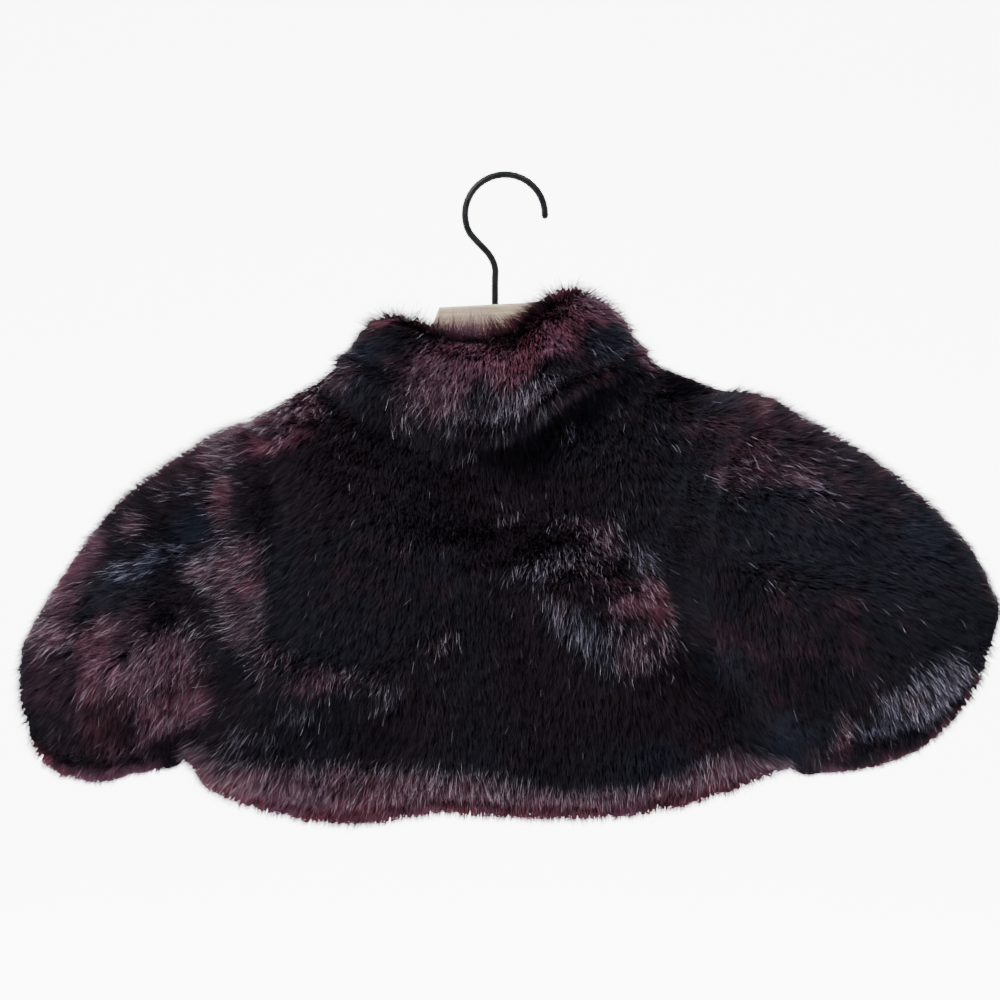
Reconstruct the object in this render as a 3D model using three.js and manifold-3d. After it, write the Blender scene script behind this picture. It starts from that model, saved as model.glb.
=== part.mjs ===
// A child's cropped faux fur shrug, hanging closed and nearly flat on a wooden hanger with a wire hook.
// Each cloth piece is a wall as thick as the backing and its combed pile, open at neck, hem and cuffs.
// Frame: millimetres, +Z up, -Y the garment's back, and the origin where a rail carries the hook's crown.
import * as THREE from "three";
import { mergeVertices } from "three/addons/utils/BufferGeometryUtils.js";
import Module from "manifold-3d";

const wasm = await Module();
wasm.setup();

// ---------------------------------------------------------------- driving sizes
const PILE_WALL = 14; // backing and pile together
const ARMHOLE_WALL = 8; // the same, pressed together at the armhole seams
const SEAM_GAP = 0.35; // between two pieces at a seam
const EDGE_ROUND = 6; // rounding of the pile over a raw edge
const FRONT_GAP = { top: 5, hem: 15 }; // between the two fronts, which hang open a little
const SIDE_SEAM_Y = 3; // the side and shoulder seams lie in this plane
const CENTRE_X = -3; // the garment's own centre line
const HANG_TILT = THREE.MathUtils.degToRad(3); // the hanger has slipped round, right side up
const FAR = 500; // further than any part of the garment

// The wire hook: thickness, arc's radius, where the stem stands, how deep it is driven in, where the
// swan neck starts and how far it leans out, and the turns at which the arc starts and ends.
const HOOK = { wire: 3.8, arc: 21.6, stemX: -5.4, driven: 14, neckZ: -48, lean: 9, rise: 13 };
const HOOK_ARC = { start: 206, tip: -2 };
// The wooden board: thickness, neck block and its two arms, with the rounding of the arms' ends.
const BOARD = { thick: 10, edge: 1.2, topZ: -68.6, topHalf: 30, neckHalf: 37, neckDrop: 17 };
const ARM = { half: 136, drop: 54, high: 26, round: 14, underside: 34 };

// The body's outer sections from the hem up: height, both sides, and depth behind and in front of the hanger.
const BODY = [
  { z: -342, left: -163, right: 158, back: 34, front: 32 },
  { z: -328, left: -171, right: 163, back: 38, front: 35 },
  { z: -306, left: -174, right: 166, back: 40, front: 37 },
  { z: -271, left: -165, right: 162, back: 41, front: 38 },
  { z: -239, left: -160, right: 157, back: 42, front: 38 },
  { z: -206, left: -156, right: 154, back: 41, front: 37 },
  { z: -170, left: -153, right: 152, back: 38, front: 35 },
  { z: -150, left: -149, right: 150, back: 36, front: 34 },
  { z: -137, left: -143, right: 146, back: 34, front: 32 },
  { z: -126, left: -130, right: 137, back: 32, front: 31 },
  { z: -117, left: -113, right: 122, back: 31, front: 30 },
  { z: -110, left: -101, right: 103, back: 30, front: 29 },
  { z: -104, left: -90, right: 90, back: 28, front: 28 },
  { z: -100, left: -74, right: 74, back: 24, front: 24 },
];
const BODY_POWER = 2.6; // squareness of a section: 2 is an ellipse
const HEM_REACH = 130; // how far up the hem's waviness is felt
const HOLLOW_TOP = -118; // where the body's hollow ends under the shoulders
const SHOULDER_CALM = { low: -128, high: -106 }; // folds die out between these heights

// The hem's own line, as height over the body's width.
const HEM = [
  { x: -176, z: -312 },
  { x: -158, z: -327 },
  { x: -130, z: -337 },
  { x: -85, z: -344 },
  { x: -35, z: -337 },
  { x: 15, z: -340 },
  { x: 70, z: -338 },
  { x: 110, z: -330 },
  { x: 145, z: -318 },
  { x: 168, z: -308 },
];

// Folds and hollows: place, lean from upright in degrees, half length, half width, lift outwards and bow.
const BACK_FOLDS = [
  { x: 42, z: -236, lean: 46, long: 52, wide: 17, lift: 7, bow: 6 },
  { x: 98, z: -240, lean: 6, long: 62, wide: 13, lift: -9, bow: -6 },
  { x: -95, z: -262, lean: 78, long: 60, wide: 15, lift: 5, bow: 22 },
  { x: -100, z: -296, lean: 84, long: 64, wide: 12, lift: -6, bow: 14 },
  { x: -18, z: -199, lean: 66, long: 34, wide: 11, lift: 4, bow: 0 },
  { x: -62, z: -200, lean: 10, long: 48, wide: 40, lift: 4, bow: 0 },
  { x: 30, z: -300, lean: 84, long: 80, wide: 14, lift: -5, bow: 4 },
  { x: 62, z: -186, lean: 60, long: 50, wide: 15, lift: -5, bow: 0 },
  { x: 8, z: -168, lean: 12, long: 36, wide: 22, lift: -4, bow: 0 },
  { x: -118, z: -168, lean: 24, long: 30, wide: 12, lift: -4, bow: 0 },
];
const FRONT_FOLDS = [
  { x: -60, z: -240, lean: -18, long: 66, wide: 17, lift: 6, bow: 4 },
  { x: -104, z: -262, lean: -26, long: 54, wide: 13, lift: -6, bow: 0 },
  { x: 62, z: -232, lean: 22, long: 64, wide: 18, lift: 6, bow: -4 },
  { x: 108, z: -258, lean: 30, long: 52, wide: 13, lift: -6, bow: 0 },
  { x: -30, z: -176, lean: 40, long: 40, wide: 15, lift: -4, bow: 0 },
  { x: 36, z: -180, lean: -38, long: 38, wide: 14, lift: -4, bow: 0 },
  { x: -6, z: -302, lean: 86, long: 90, wide: 13, lift: -4, bow: 0 },
];

// Sleeve sections from the armhole to the cuff: the section's top and low end as seen from behind, and its
// middle and half depth.
const LEFT_SLEEVE = [
  { topX: -126, topZ: -138, lowX: -142, lowZ: -270, midY: 1, deep: 29 },
  { topX: -149, topZ: -135, lowX: -160, lowZ: -284, midY: 0, deep: 34 },
  { topX: -168, topZ: -145, lowX: -167, lowZ: -297, midY: -2, deep: 36 },
  { topX: -191, topZ: -160, lowX: -170, lowZ: -303, midY: -4, deep: 38 },
  { topX: -213, topZ: -180, lowX: -173, lowZ: -307, midY: -6, deep: 38 },
  { topX: -232, topZ: -205, lowX: -176, lowZ: -310, midY: -7, deep: 37 },
  { topX: -248, topZ: -229, lowX: -178, lowZ: -312, midY: -8, deep: 35 },
  { topX: -260, topZ: -250, lowX: -180, lowZ: -313, midY: -8, deep: 33 },
];
const RIGHT_SLEEVE = [
  { topX: 112, topZ: -123, lowX: 88, lowZ: -222, midY: -6, deep: 31 },
  { topX: 136, topZ: -117, lowX: 99, lowZ: -242, midY: -9, deep: 36 },
  { topX: 162, topZ: -129, lowX: 112, lowZ: -262, midY: -11, deep: 39 },
  { topX: 190, topZ: -146, lowX: 126, lowZ: -281, midY: -12, deep: 40 },
  { topX: 214, topZ: -163, lowX: 139, lowZ: -296, midY: -12, deep: 39 },
  { topX: 236, topZ: -182, lowX: 150, lowZ: -306, midY: -11, deep: 38 },
  { topX: 254, topZ: -202, lowX: 158, lowZ: -312, midY: -10, deep: 36 },
  { topX: 266, topZ: -226, lowX: 166, lowZ: -313, midY: -9, deep: 34 },
];
const LEFT_CUFF_DROOP = 33; // how far the cuff's middle hangs past its two folded ends
const RIGHT_CUFF_DROOP = 22;
const SLEEVE_POWER = 2.3;
const FRONT_FOLD_SHIFT = 11; // a sleeve's front has the same folds, moved along by this
const LEFT_SLEEVE_FOLDS = [
  { x: -190, z: -206, lean: 66, long: 34, wide: 12, lift: -7, bow: 0 },
  { x: -222, z: -232, lean: 40, long: 26, wide: 12, lift: -5, bow: 0 },
  { x: -196, z: -262, lean: -42, long: 40, wide: 14, lift: 4, bow: 0 },
];
const RIGHT_SLEEVE_FOLDS = [
  { x: 146, z: -172, lean: 72, long: 34, wide: 10, lift: 4, bow: 0 },
  { x: 152, z: -152, lean: 66, long: 38, wide: 10, lift: -5, bow: 0 },
  { x: 205, z: -220, lean: 40, long: 44, wide: 16, lift: -6, bow: 0 },
  { x: 190, z: -268, lean: 52, long: 36, wide: 14, lift: 4, bow: 0 },
];

// The turned-down collar round the neck, by turn in degrees from the right shoulder over the back:
// rim height, fall's lower edge, and how far its outside stands from the neck's middle.
const NECK = { x: -6, y: 2, halfWide: 47, halfDeep: 17, low: -160, foot: -132, roll: 11 };
const COLLAR = [
  { turn: 0, rim: -72, low: -106, out: 84 },
  { turn: 15, rim: -65, low: -107, out: 80 },
  { turn: 33, rim: -60, low: -112, out: 72 },
  { turn: 55, rim: -67, low: -124, out: 57 },
  { turn: 72, rim: -75, low: -136, out: 50 },
  { turn: 95, rim: -80, low: -141, out: 47 },
  { turn: 130, rim: -80, low: -132, out: 54 },
  { turn: 145, rim: -77, low: -121, out: 66 },
  { turn: 160, rim: -74, low: -112, out: 79 },
  { turn: 180, rim: -80, low: -110, out: 84 },
  { turn: 215, rim: -88, low: -117, out: 66 },
  { turn: 250, rim: -96, low: -134, out: 50 },
  { turn: 270, rim: -100, low: -140, out: 47 },
  { turn: 290, rim: -96, low: -134, out: 50 },
  { turn: 325, rim: -84, low: -116, out: 66 },
  { turn: 360, rim: -72, low: -106, out: 84 },
];

// Facets of each form.
const BODY_MESH = { around: 66, along: 21, insideAround: 34, insideAlong: 8 };
const SLEEVE_MESH = { around: 30, along: 11 };
const SLEEVE_HOLLOW_MESH = { around: 18, along: 6 };
const COLLAR_MESH = { around: 46 };
const NECK_MESH = { around: 32 };
const HOOK_MESH = { steps: 38, arcStep: 13, around: 4 };
const BOARD_MESH = { curve: 7 };

const { degToRad, lerp, smoothstep } = THREE.MathUtils;

// ---------------------------------------------------------------- helpers

// A smooth function of one column of a table, which never overshoots its rows.
function column(rows, by, name) {
  const at = rows.map((row) => row[by]);
  const value = rows.map((row) => row[name]);
  const last = at.length - 1;
  const rise = at.slice(1).map((a, i) => (value[i + 1] - value[i]) / (a - at[i]));
  const slope = at.map((_, i) => {
    if (i === 0) return rise[0];
    if (i === last) return rise[last - 1];
    const [before, after] = [rise[i - 1], rise[i]];
    return before * after <= 0 ? 0 : (2 * before * after) / (before + after);
  });
  return (t) => {
    if (t <= at[0]) return value[0];
    if (t >= at[last]) return value[last];
    const i = at.findIndex((a) => a >= t) - 1;
    const wide = at[i + 1] - at[i];
    const s = (t - at[i]) / wide;
    const ends = (2 * s ** 3 - 3 * s ** 2 + 1) * value[i] + (3 * s ** 2 - 2 * s ** 3) * value[i + 1];
    return ends + ((s - 1) ** 2 * s * slope[i] + (s - 1) * s ** 2 * slope[i + 1]) * wide;
  };
}

function columns(rows, by, names) {
  return Object.fromEntries(names.map((name) => [name, column(rows, by, name)]));
}

// How far a set of folds lifts the pile at a place on a face.
function foldLift(folds, x, z) {
  return folds.reduce((sum, fold) => {
    const lean = degToRad(fold.lean);
    const [dx, dz] = [x - fold.x, fold.z - z];
    const along = (dx * Math.sin(lean) + dz * Math.cos(lean)) / fold.long;
    const across = dx * Math.cos(lean) - dz * Math.sin(lean) + fold.bow * along ** 2;
    return sum + fold.lift * Math.exp(-(along ** 2) - (across / fold.wide) ** 2);
  }, 0);
}

const signedPower = (value, power) => Math.sign(value) * Math.abs(value) ** power;

// One value for each facet of a ring, from the cosine and sine of its turn.
function around(count, point) {
  return Array.from({ length: count }, (_, j) => {
    const turn = (2 * Math.PI * j) / count;
    return point(Math.cos(turn), Math.sin(turn), THREE.MathUtils.radToDeg(turn));
  });
}

// A closed mesh through rings of points: capped at both ends, or joined into a torus.
function skin(rings, joined = false) {
  const count = rings[0].length;
  const points = rings.flat();
  const faces = [];
  const rows = joined ? rings.length : rings.length - 1;
  for (let i = 0; i < rows; i++) {
    const next = (i + 1) % rings.length;
    for (let j = 0; j < count; j++) {
      const [a, b] = [i * count + j, i * count + ((j + 1) % count)];
      const [c, d] = [next * count + j, next * count + ((j + 1) % count)];
      faces.push(a, b, d, a, d, c);
    }
  }
  for (const i of joined ? [] : [0, rings.length - 1]) {
    const middle = rings[i].reduce((sum, p) => sum.add(p), new THREE.Vector3()).divideScalar(count);
    points.push(middle);
    for (let j = 0; j < count; j++) {
      const edge = [i * count + j, i * count + ((j + 1) % count)];
      faces.push(...(i === 0 ? edge.reverse() : edge), points.length - 1);
    }
  }
  const geometry = new THREE.BufferGeometry();
  geometry.setAttribute("position", new THREE.Float32BufferAttribute(points.flatMap((p) => p.toArray()), 3));
  geometry.setIndex(faces);
  return geometry;
}

// The same closed mesh, grown outwards by a distance.
function grown(geometry, distance) {
  const larger = geometry.clone();
  larger.computeVertexNormals();
  const { position, normal } = larger.attributes;
  const point = new THREE.Vector3();
  const outwards = new THREE.Vector3();
  for (let i = 0; i < position.count; i++) {
    point.fromBufferAttribute(position, i);
    outwards.fromBufferAttribute(normal, i);
    point.addScaledVector(outwards, distance);
    position.setXYZ(i, ...point.toArray());
  }
  return larger;
}

// A closed mesh as a solid, turned the right way out.
function solid(geometry) {
  const bare = geometry.clone();
  bare.deleteAttribute("normal");
  bare.deleteAttribute("uv");
  const merged = mergeVertices(bare, 1e-3);
  const vertProperties = new Float32Array(merged.attributes.position.array);
  const triVerts = new Uint32Array(merged.index.array);
  const made = new wasm.Manifold(new wasm.Mesh({ numProp: 3, vertProperties, triVerts }));
  if (made.volume() > 0) return made;
  for (let i = 0; i < triVerts.length; i += 3) {
    [triVerts[i + 1], triVerts[i + 2]] = [triVerts[i + 2], triVerts[i + 1]];
  }
  return new wasm.Manifold(new wasm.Mesh({ numProp: 3, vertProperties, triVerts }));
}

// A block that reaches far on every side but the ones that are named.
function block({ left = -FAR, right = FAR, back = -FAR, front = FAR }) {
  const geometry = new THREE.BoxGeometry(right - left, front - back, 2 * FAR);
  return solid(geometry.translate((left + right) / 2, (back + front) / 2, 0));
}

function cutAway(whole, cutters) {
  return cutters.reduce((left, cutter) => left.subtract(cutter), whole);
}

// ---------------------------------------------------------------- body

const bodyAt = columns(BODY, "z", ["left", "right", "back", "front"]);
const hemAt = column(HEM, "x", "z");
const BODY_LOW = BODY[0].z;
const BODY_TOP = BODY[BODY.length - 1].z;

// One level section of the body, shrunk by a wall and bent to the hem's own line near the bottom.
function bodyRing(z, wall, count, folded) {
  const middle = (bodyAt.left(z) + bodyAt.right(z)) / 2;
  const half = (bodyAt.right(z) - bodyAt.left(z)) / 2 - wall;
  const hemShare = Math.max(0, 1 - (z - BODY_LOW) / HEM_REACH) ** 2;
  const overHem = smoothstep(z, BODY_LOW, BODY_LOW + 4 * EDGE_ROUND);
  const foldShare = folded ? overHem * (1 - smoothstep(z, SHOULDER_CALM.low, SHOULDER_CALM.high)) : 0;
  return around(count, (c, s) => {
    const x = middle + half * signedPower(c, 2 / BODY_POWER);
    const depth = bodyAt[s < 0 ? "back" : "front"](z) - wall;
    const lift = foldLift(s < 0 ? BACK_FOLDS : FRONT_FOLDS, x, z) * foldShare * Math.abs(s);
    const level = z + (hemAt(x) - BODY_LOW) * hemShare;
    return new THREE.Vector3(x, (depth + lift) * signedPower(s, 2 / BODY_POWER), level);
  });
}

// The body's outside, rounded in at the hem. Its sections crowd towards the shoulders.
function bodyOutside() {
  const count = BODY_MESH.around;
  const rings = [bodyRing(BODY_LOW, EDGE_ROUND, count, false)];
  rings.push(bodyRing(BODY_LOW + EDGE_ROUND / 4, EDGE_ROUND / 3, count, false));
  for (let i = 0; i <= BODY_MESH.along; i++) {
    const share = 1 - (1 - i / BODY_MESH.along) ** 1.45;
    rings.push(bodyRing(lerp(BODY_LOW + EDGE_ROUND, BODY_TOP, share), 0, count, true));
  }
  return skin(rings);
}

// The body's hollow, which runs on below the hem.
function bodyInside() {
  const rings = [];
  for (let i = 0; i <= BODY_MESH.insideAlong; i++) {
    const share = 1 - (1 - i / BODY_MESH.insideAlong) ** 1.3;
    const ring = bodyRing(lerp(BODY_LOW, HOLLOW_TOP, share), PILE_WALL, BODY_MESH.insideAround, false);
    rings.push(ring.map((point) => point.setZ(point.z - PILE_WALL)));
  }
  const below = rings[0].map((point) => point.clone().setZ(point.z - PILE_WALL));
  return solid(skin([below, ...rings]));
}

// ---------------------------------------------------------------- sleeves

// A function that gives a sleeve's section at a place along its table. The section is shrunk by a wall and
// pushed on along the sleeve, and its middle hangs past both folded ends by the cuff's droop.
function sleeveSections({ rows, droop, folds }, count) {
  const last = rows.length - 1;
  const names = ["topX", "topZ", "lowX", "lowZ", "midY", "deep"];
  const at = columns(rows.map((row, place) => ({ ...row, place })), "place", names);
  const side = Math.sign(rows[last].topX);
  return (t, wall, push, foldShare) => {
    const top = new THREE.Vector3(at.topX(t), at.midY(t), at.topZ(t));
    const low = new THREE.Vector3(at.lowX(t), at.midY(t), at.lowZ(t));
    const across = top.clone().sub(low);
    const half = across.length() / 2 - wall;
    across.normalize();
    const onward = new THREE.Vector3(across.z * side, 0, -across.x * side);
    const hang = droop * smoothstep(t, last * 0.35, last);
    return around(count, (c, s) => {
      const point = top.clone().add(low).divideScalar(2);
      point.addScaledVector(across, half * signedPower(c, 2 / SLEEVE_POWER));
      point.addScaledVector(onward, hang * s ** 2 + push);
      const shift = s < 0 ? 0 : FRONT_FOLD_SHIFT;
      const lift = foldLift(folds, point.x + shift, point.z + shift) * foldShare * Math.abs(s);
      point.y += (at.deep(t) - wall + lift) * signedPower(s, 2 / SLEEVE_POWER);
      return point;
    });
  };
}

// A sleeve's outside, rounded in at the cuff.
function sleeveOutside(sleeve) {
  const section = sleeveSections(sleeve, SLEEVE_MESH.around);
  const last = sleeve.rows.length - 1;
  const rings = [];
  for (let i = 0; i <= SLEEVE_MESH.along; i++) {
    const t = (last * i) / SLEEVE_MESH.along;
    const foldShare = smoothstep(t, 0, 1) * (1 - smoothstep(t, last - 1.5, last));
    rings.push(section(t, 0, i === SLEEVE_MESH.along ? -EDGE_ROUND : 0, foldShare));
  }
  rings.push(section(last, EDGE_ROUND / 3, -EDGE_ROUND / 4, 0));
  rings.push(section(last, EDGE_ROUND, 0, 0));
  return solid(skin(rings));
}

// A sleeve's hollow, from inside the body to past the cuff.
function sleeveInside(sleeve) {
  const section = sleeveSections(sleeve, SLEEVE_HOLLOW_MESH.around);
  const last = sleeve.rows.length - 1;
  const rings = [];
  for (let i = 0; i <= SLEEVE_HOLLOW_MESH.along; i++) {
    const t = (last * i) / SLEEVE_HOLLOW_MESH.along;
    rings.push(section(t, lerp(ARMHOLE_WALL, PILE_WALL, smoothstep(t, 0.5, 2.5)), 0, 0));
  }
  rings.push(section(last, PILE_WALL, 2 * PILE_WALL, 0));
  return solid(skin(rings));
}

// ---------------------------------------------------------------- collar

const collarAt = columns(COLLAR, "turn", ["rim", "low", "out"]);

// A rolled collar as rings of its section: under the fall, up its outside, over the rim and down the neck.
// A row of the section is how far it lies from the neck to the outside, then outwards of that, and its
// height from the fall's edge to the rim, then above that.
const COLLAR_SECTION = [
  { reach: 1, outwards: -22, share: 0, above: 1 },
  { reach: 1, outwards: -7, share: 0, above: -1 },
  { reach: 1, outwards: -1.5, share: 0, above: 4 },
  { reach: 1, outwards: 0, share: 0.28, above: 0 },
  { reach: 1, outwards: -2, share: 0.5, above: 0 },
  { reach: 0.86, outwards: 0, share: 0.74, above: 0 },
  { reach: 0.68, outwards: 1, share: 0.92, above: 0 },
  { reach: 0.42, outwards: 0, share: 1, above: 0 },
  { reach: 0, outwards: 3, share: 1, above: -4 },
  { reach: 0, outwards: 0, share: 1, above: -NECK.roll },
];

function collarRing(row) {
  return around(COLLAR_MESH.around, (c, s, turn) => {
    const [rim, low, out] = [collarAt.rim(turn), collarAt.low(turn), collarAt.out(turn)];
    const inner = (NECK.halfWide * NECK.halfDeep) / Math.hypot(NECK.halfDeep * c, NECK.halfWide * s);
    const radius = Math.max(inner, lerp(inner, out, row.reach) + row.outwards);
    return new THREE.Vector3(NECK.x + radius * c, NECK.y - radius * s, lerp(low, rim, row.share) + row.above);
  });
}

function collarOutside() {
  const rings = COLLAR_SECTION.map(collarRing);
  const foot = rings[rings.length - 1].map((point) => point.clone().setZ(NECK.foot));
  return solid(skin([...rings, foot], true));
}

// The neck's opening, as an upright elliptic plug.
function neckHole() {
  const tall = HOOK.neckZ - NECK.low;
  const plug = new THREE.CylinderGeometry(1, 1, tall, NECK_MESH.around).rotateX(Math.PI / 2);
  plug.scale(NECK.halfWide, NECK.halfDeep, 1);
  return solid(plug.translate(NECK.x, NECK.y, NECK.low + tall / 2));
}

// The wedge of air between the two fronts, from above the collar to below the hem.
function frontOpening() {
  const wedge = new THREE.Shape();
  wedge.moveTo(-FRONT_GAP.top / 2, HOOK.neckZ);
  wedge.lineTo(-FRONT_GAP.hem / 2, BODY_LOW - 2 * PILE_WALL);
  wedge.lineTo(FRONT_GAP.hem / 2, BODY_LOW - 2 * PILE_WALL);
  wedge.lineTo(FRONT_GAP.top / 2, HOOK.neckZ);
  const air = new THREE.ExtrudeGeometry(wedge, { depth: FAR, bevelEnabled: false });
  return solid(air.rotateX(Math.PI / 2).translate(CENTRE_X, SIDE_SEAM_Y + FAR, 0));
}

// ---------------------------------------------------------------- hanger

// The wire hook, swept along its stem, swan neck and open arc, with a rounded tip.
function hook() {
  const { wire, arc, stemX, driven, neckZ, lean, rise } = HOOK;
  const points = [
    new THREE.Vector3(stemX, 0, BOARD.topZ - driven),
    new THREE.Vector3(stemX, 0, neckZ - 2 * wire),
    new THREE.Vector3(stemX, 0, neckZ),
    new THREE.Vector3(stemX - lean / 3, 0, neckZ + rise / 2),
    new THREE.Vector3(stemX - lean, 0, neckZ + rise),
  ];
  for (let turn = HOOK_ARC.start; turn >= HOOK_ARC.tip; turn -= HOOK_MESH.arcStep) {
    const angle = degToRad(turn);
    points.push(new THREE.Vector3(arc * Math.cos(angle), 0, wire / 2 - arc + arc * Math.sin(angle)));
  }
  const section = new THREE.Shape();
  section.absarc(0, 0, wire / 2, 0, 2 * Math.PI, false);
  const extrudePath = new THREE.CatmullRomCurve3(points, false, "centripetal");
  const sweep = { steps: HOOK_MESH.steps, extrudePath, curveSegments: HOOK_MESH.around };
  const end = new THREE.SphereGeometry(wire / 2, 2 * HOOK_MESH.around, HOOK_MESH.around);
  end.translate(...points[points.length - 1].toArray());
  return solid(new THREE.ExtrudeGeometry(section, sweep)).add(solid(end));
}

// Half of the board's outline, from the middle of its top to the middle of its underside. It is mirrored by
// a side of -1, and grown all round by a clearance where the board is used as a cutter.
function boardEdge(shape, side, grow) {
  const { topHalf, neckHalf, neckDrop } = BOARD;
  const tip = -neckDrop - ARM.drop;
  const steps = [
    { to: [topHalf + grow, grow] },
    { to: [neckHalf - 3 + grow, -neckDrop / 2 + grow] },
    { by: [neckHalf + grow, -neckDrop + grow], to: [neckHalf + ARM.round, -neckDrop - ARM.round / 2 + grow] },
    { to: [ARM.half - ARM.round, tip + ARM.round / 2 + grow] },
    { by: [ARM.half + grow, tip + grow], to: [ARM.half + grow, tip - ARM.round] },
    { by: [ARM.half + grow, tip - ARM.high - grow], to: [ARM.half - ARM.round, tip - ARM.high - grow] },
    { by: [ARM.half / 3, -neckDrop - ARM.underside - grow], to: [0, -neckDrop - ARM.underside - grow] },
  ];
  const drawn = steps.map(({ by, to }) => ({ by: by && [side * by[0], by[1]], to: [side * to[0], to[1]] }));
  if (side > 0) {
    for (const { by, to } of drawn) by ? shape.quadraticCurveTo(...by, ...to) : shape.lineTo(...to);
    return;
  }
  for (let i = drawn.length - 1; i > 0; i--) {
    const to = drawn[i - 1].to;
    drawn[i].by ? shape.quadraticCurveTo(...drawn[i].by, ...to) : shape.lineTo(...to);
  }
}

// The flat wooden board of the hanger.
function board(grow = 0) {
  const outline = new THREE.Shape();
  outline.moveTo(0, grow);
  boardEdge(outline, 1, grow);
  boardEdge(outline, -1, grow);
  const { thick, edge } = BOARD;
  const depth = thick + 2 * grow - 2 * edge;
  const bevel = { bevelSize: edge, bevelOffset: -edge, bevelThickness: edge, bevelSegments: 1 };
  const plate = new THREE.ExtrudeGeometry(outline, { depth, curveSegments: BOARD_MESH.curve, ...bevel });
  plate.translate(0, 0, -depth / 2).rotateX(Math.PI / 2);
  return solid(plate.rotateY(-HANG_TILT).translate(HOOK.stemX, 0, BOARD.topZ));
}

// The hole that the hook's stem is driven into.
function stemHole() {
  const radius = HOOK.wire / 2 + SEAM_GAP;
  const bore = new THREE.CylinderGeometry(radius, radius, 2 * (HOOK.driven + SEAM_GAP), 4 * HOOK_MESH.around);
  return solid(bore.rotateX(Math.PI / 2).translate(HOOK.stemX, 0, BOARD.topZ));
}

// ---------------------------------------------------------------- the pieces

const leftSleeve = { rows: LEFT_SLEEVE, droop: LEFT_CUFF_DROOP, folds: LEFT_SLEEVE_FOLDS };
const rightSleeve = { rows: RIGHT_SLEEVE, droop: RIGHT_CUFF_DROOP, folds: RIGHT_SLEEVE_FOLDS };
const bodyForm = bodyOutside();
const bodyClearance = solid(grown(bodyForm, SEAM_GAP));
const boardClearance = board(SEAM_GAP);
const leftHollow = sleeveInside(leftSleeve);
const rightHollow = sleeveInside(rightSleeve);
const frontAir = frontOpening();

const hollows = [bodyInside(), neckHole(), leftHollow, rightHollow, boardClearance];
const bodyWall = cutAway(solid(bodyForm), hollows);
const fronts = bodyWall.intersect(block({ back: SIDE_SEAM_Y + SEAM_GAP / 2 })).subtract(frontAir);

const FINISHES = {
  fur: new THREE.MeshStandardMaterial({ color: 0x2c1a20, roughness: 0.75, metalness: 0 }),
  wood: new THREE.MeshStandardMaterial({ color: 0xb39a80, roughness: 0.6, metalness: 0 }),
  wire: new THREE.MeshStandardMaterial({ color: 0x1c1c1d, roughness: 0.35, metalness: 0.6 }),
};

const PIECES = [
  { name: "back", finish: "fur", cut: bodyWall.intersect(block({ front: SIDE_SEAM_Y - SEAM_GAP / 2 })) },
  { name: "front_left", finish: "fur", cut: fronts.intersect(block({ right: CENTRE_X })) },
  { name: "front_right", finish: "fur", cut: fronts.intersect(block({ left: CENTRE_X })) },
  { name: "sleeve_left", finish: "fur", cut: cutAway(sleeveOutside(leftSleeve), [leftHollow, bodyClearance]) },
  {
    name: "sleeve_right",
    finish: "fur",
    cut: cutAway(sleeveOutside(rightSleeve), [rightHollow, bodyClearance]),
  },
  { name: "collar", finish: "fur", cut: cutAway(collarOutside(), [bodyClearance, frontAir, boardClearance]) },
  { name: "hanger_board", finish: "wood", cut: board().subtract(stemHole()) },
  { name: "hanger_hook", finish: "wire", cut: hook() },
];

// A solid's largest body as a named mesh, so that a sliver left by a cut is dropped.
function piece({ name, finish, cut }) {
  const whole = cut.decompose().sort((a, b) => b.volume() - a.volume())[0];
  const { vertProperties, triVerts } = whole.getMesh();
  const geometry = new THREE.BufferGeometry();
  geometry.setAttribute("position", new THREE.BufferAttribute(vertProperties, 3));
  geometry.setIndex(new THREE.BufferAttribute(triVerts, 1));
  const mesh = new THREE.Mesh(geometry, FINISHES[finish]);
  mesh.name = name;
  return mesh;
}

const shrug = new THREE.Group();
for (const made of PIECES) shrug.add(piece(made));

export default shrug;
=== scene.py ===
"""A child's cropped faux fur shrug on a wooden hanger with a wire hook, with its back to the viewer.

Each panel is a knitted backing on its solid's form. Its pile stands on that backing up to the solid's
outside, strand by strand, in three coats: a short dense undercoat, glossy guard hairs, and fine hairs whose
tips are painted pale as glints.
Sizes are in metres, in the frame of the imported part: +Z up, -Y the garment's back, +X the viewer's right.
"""

import math

import bmesh
import bpy
import numpy as np
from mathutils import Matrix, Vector, noise
from mathutils.bvhtree import BVHTree


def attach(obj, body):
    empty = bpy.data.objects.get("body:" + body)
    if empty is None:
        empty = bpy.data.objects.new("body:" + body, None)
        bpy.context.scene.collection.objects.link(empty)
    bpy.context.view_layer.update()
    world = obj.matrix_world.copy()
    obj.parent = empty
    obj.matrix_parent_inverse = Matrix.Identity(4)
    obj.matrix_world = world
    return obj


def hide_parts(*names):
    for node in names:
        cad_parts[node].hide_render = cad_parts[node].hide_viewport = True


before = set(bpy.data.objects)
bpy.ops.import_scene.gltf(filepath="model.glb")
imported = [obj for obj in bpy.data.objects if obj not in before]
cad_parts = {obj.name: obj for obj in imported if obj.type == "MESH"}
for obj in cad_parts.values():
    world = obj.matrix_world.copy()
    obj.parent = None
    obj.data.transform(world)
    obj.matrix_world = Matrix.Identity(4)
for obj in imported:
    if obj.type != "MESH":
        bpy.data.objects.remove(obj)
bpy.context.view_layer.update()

# ---------------------------------------------------------------- driving sizes

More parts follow.
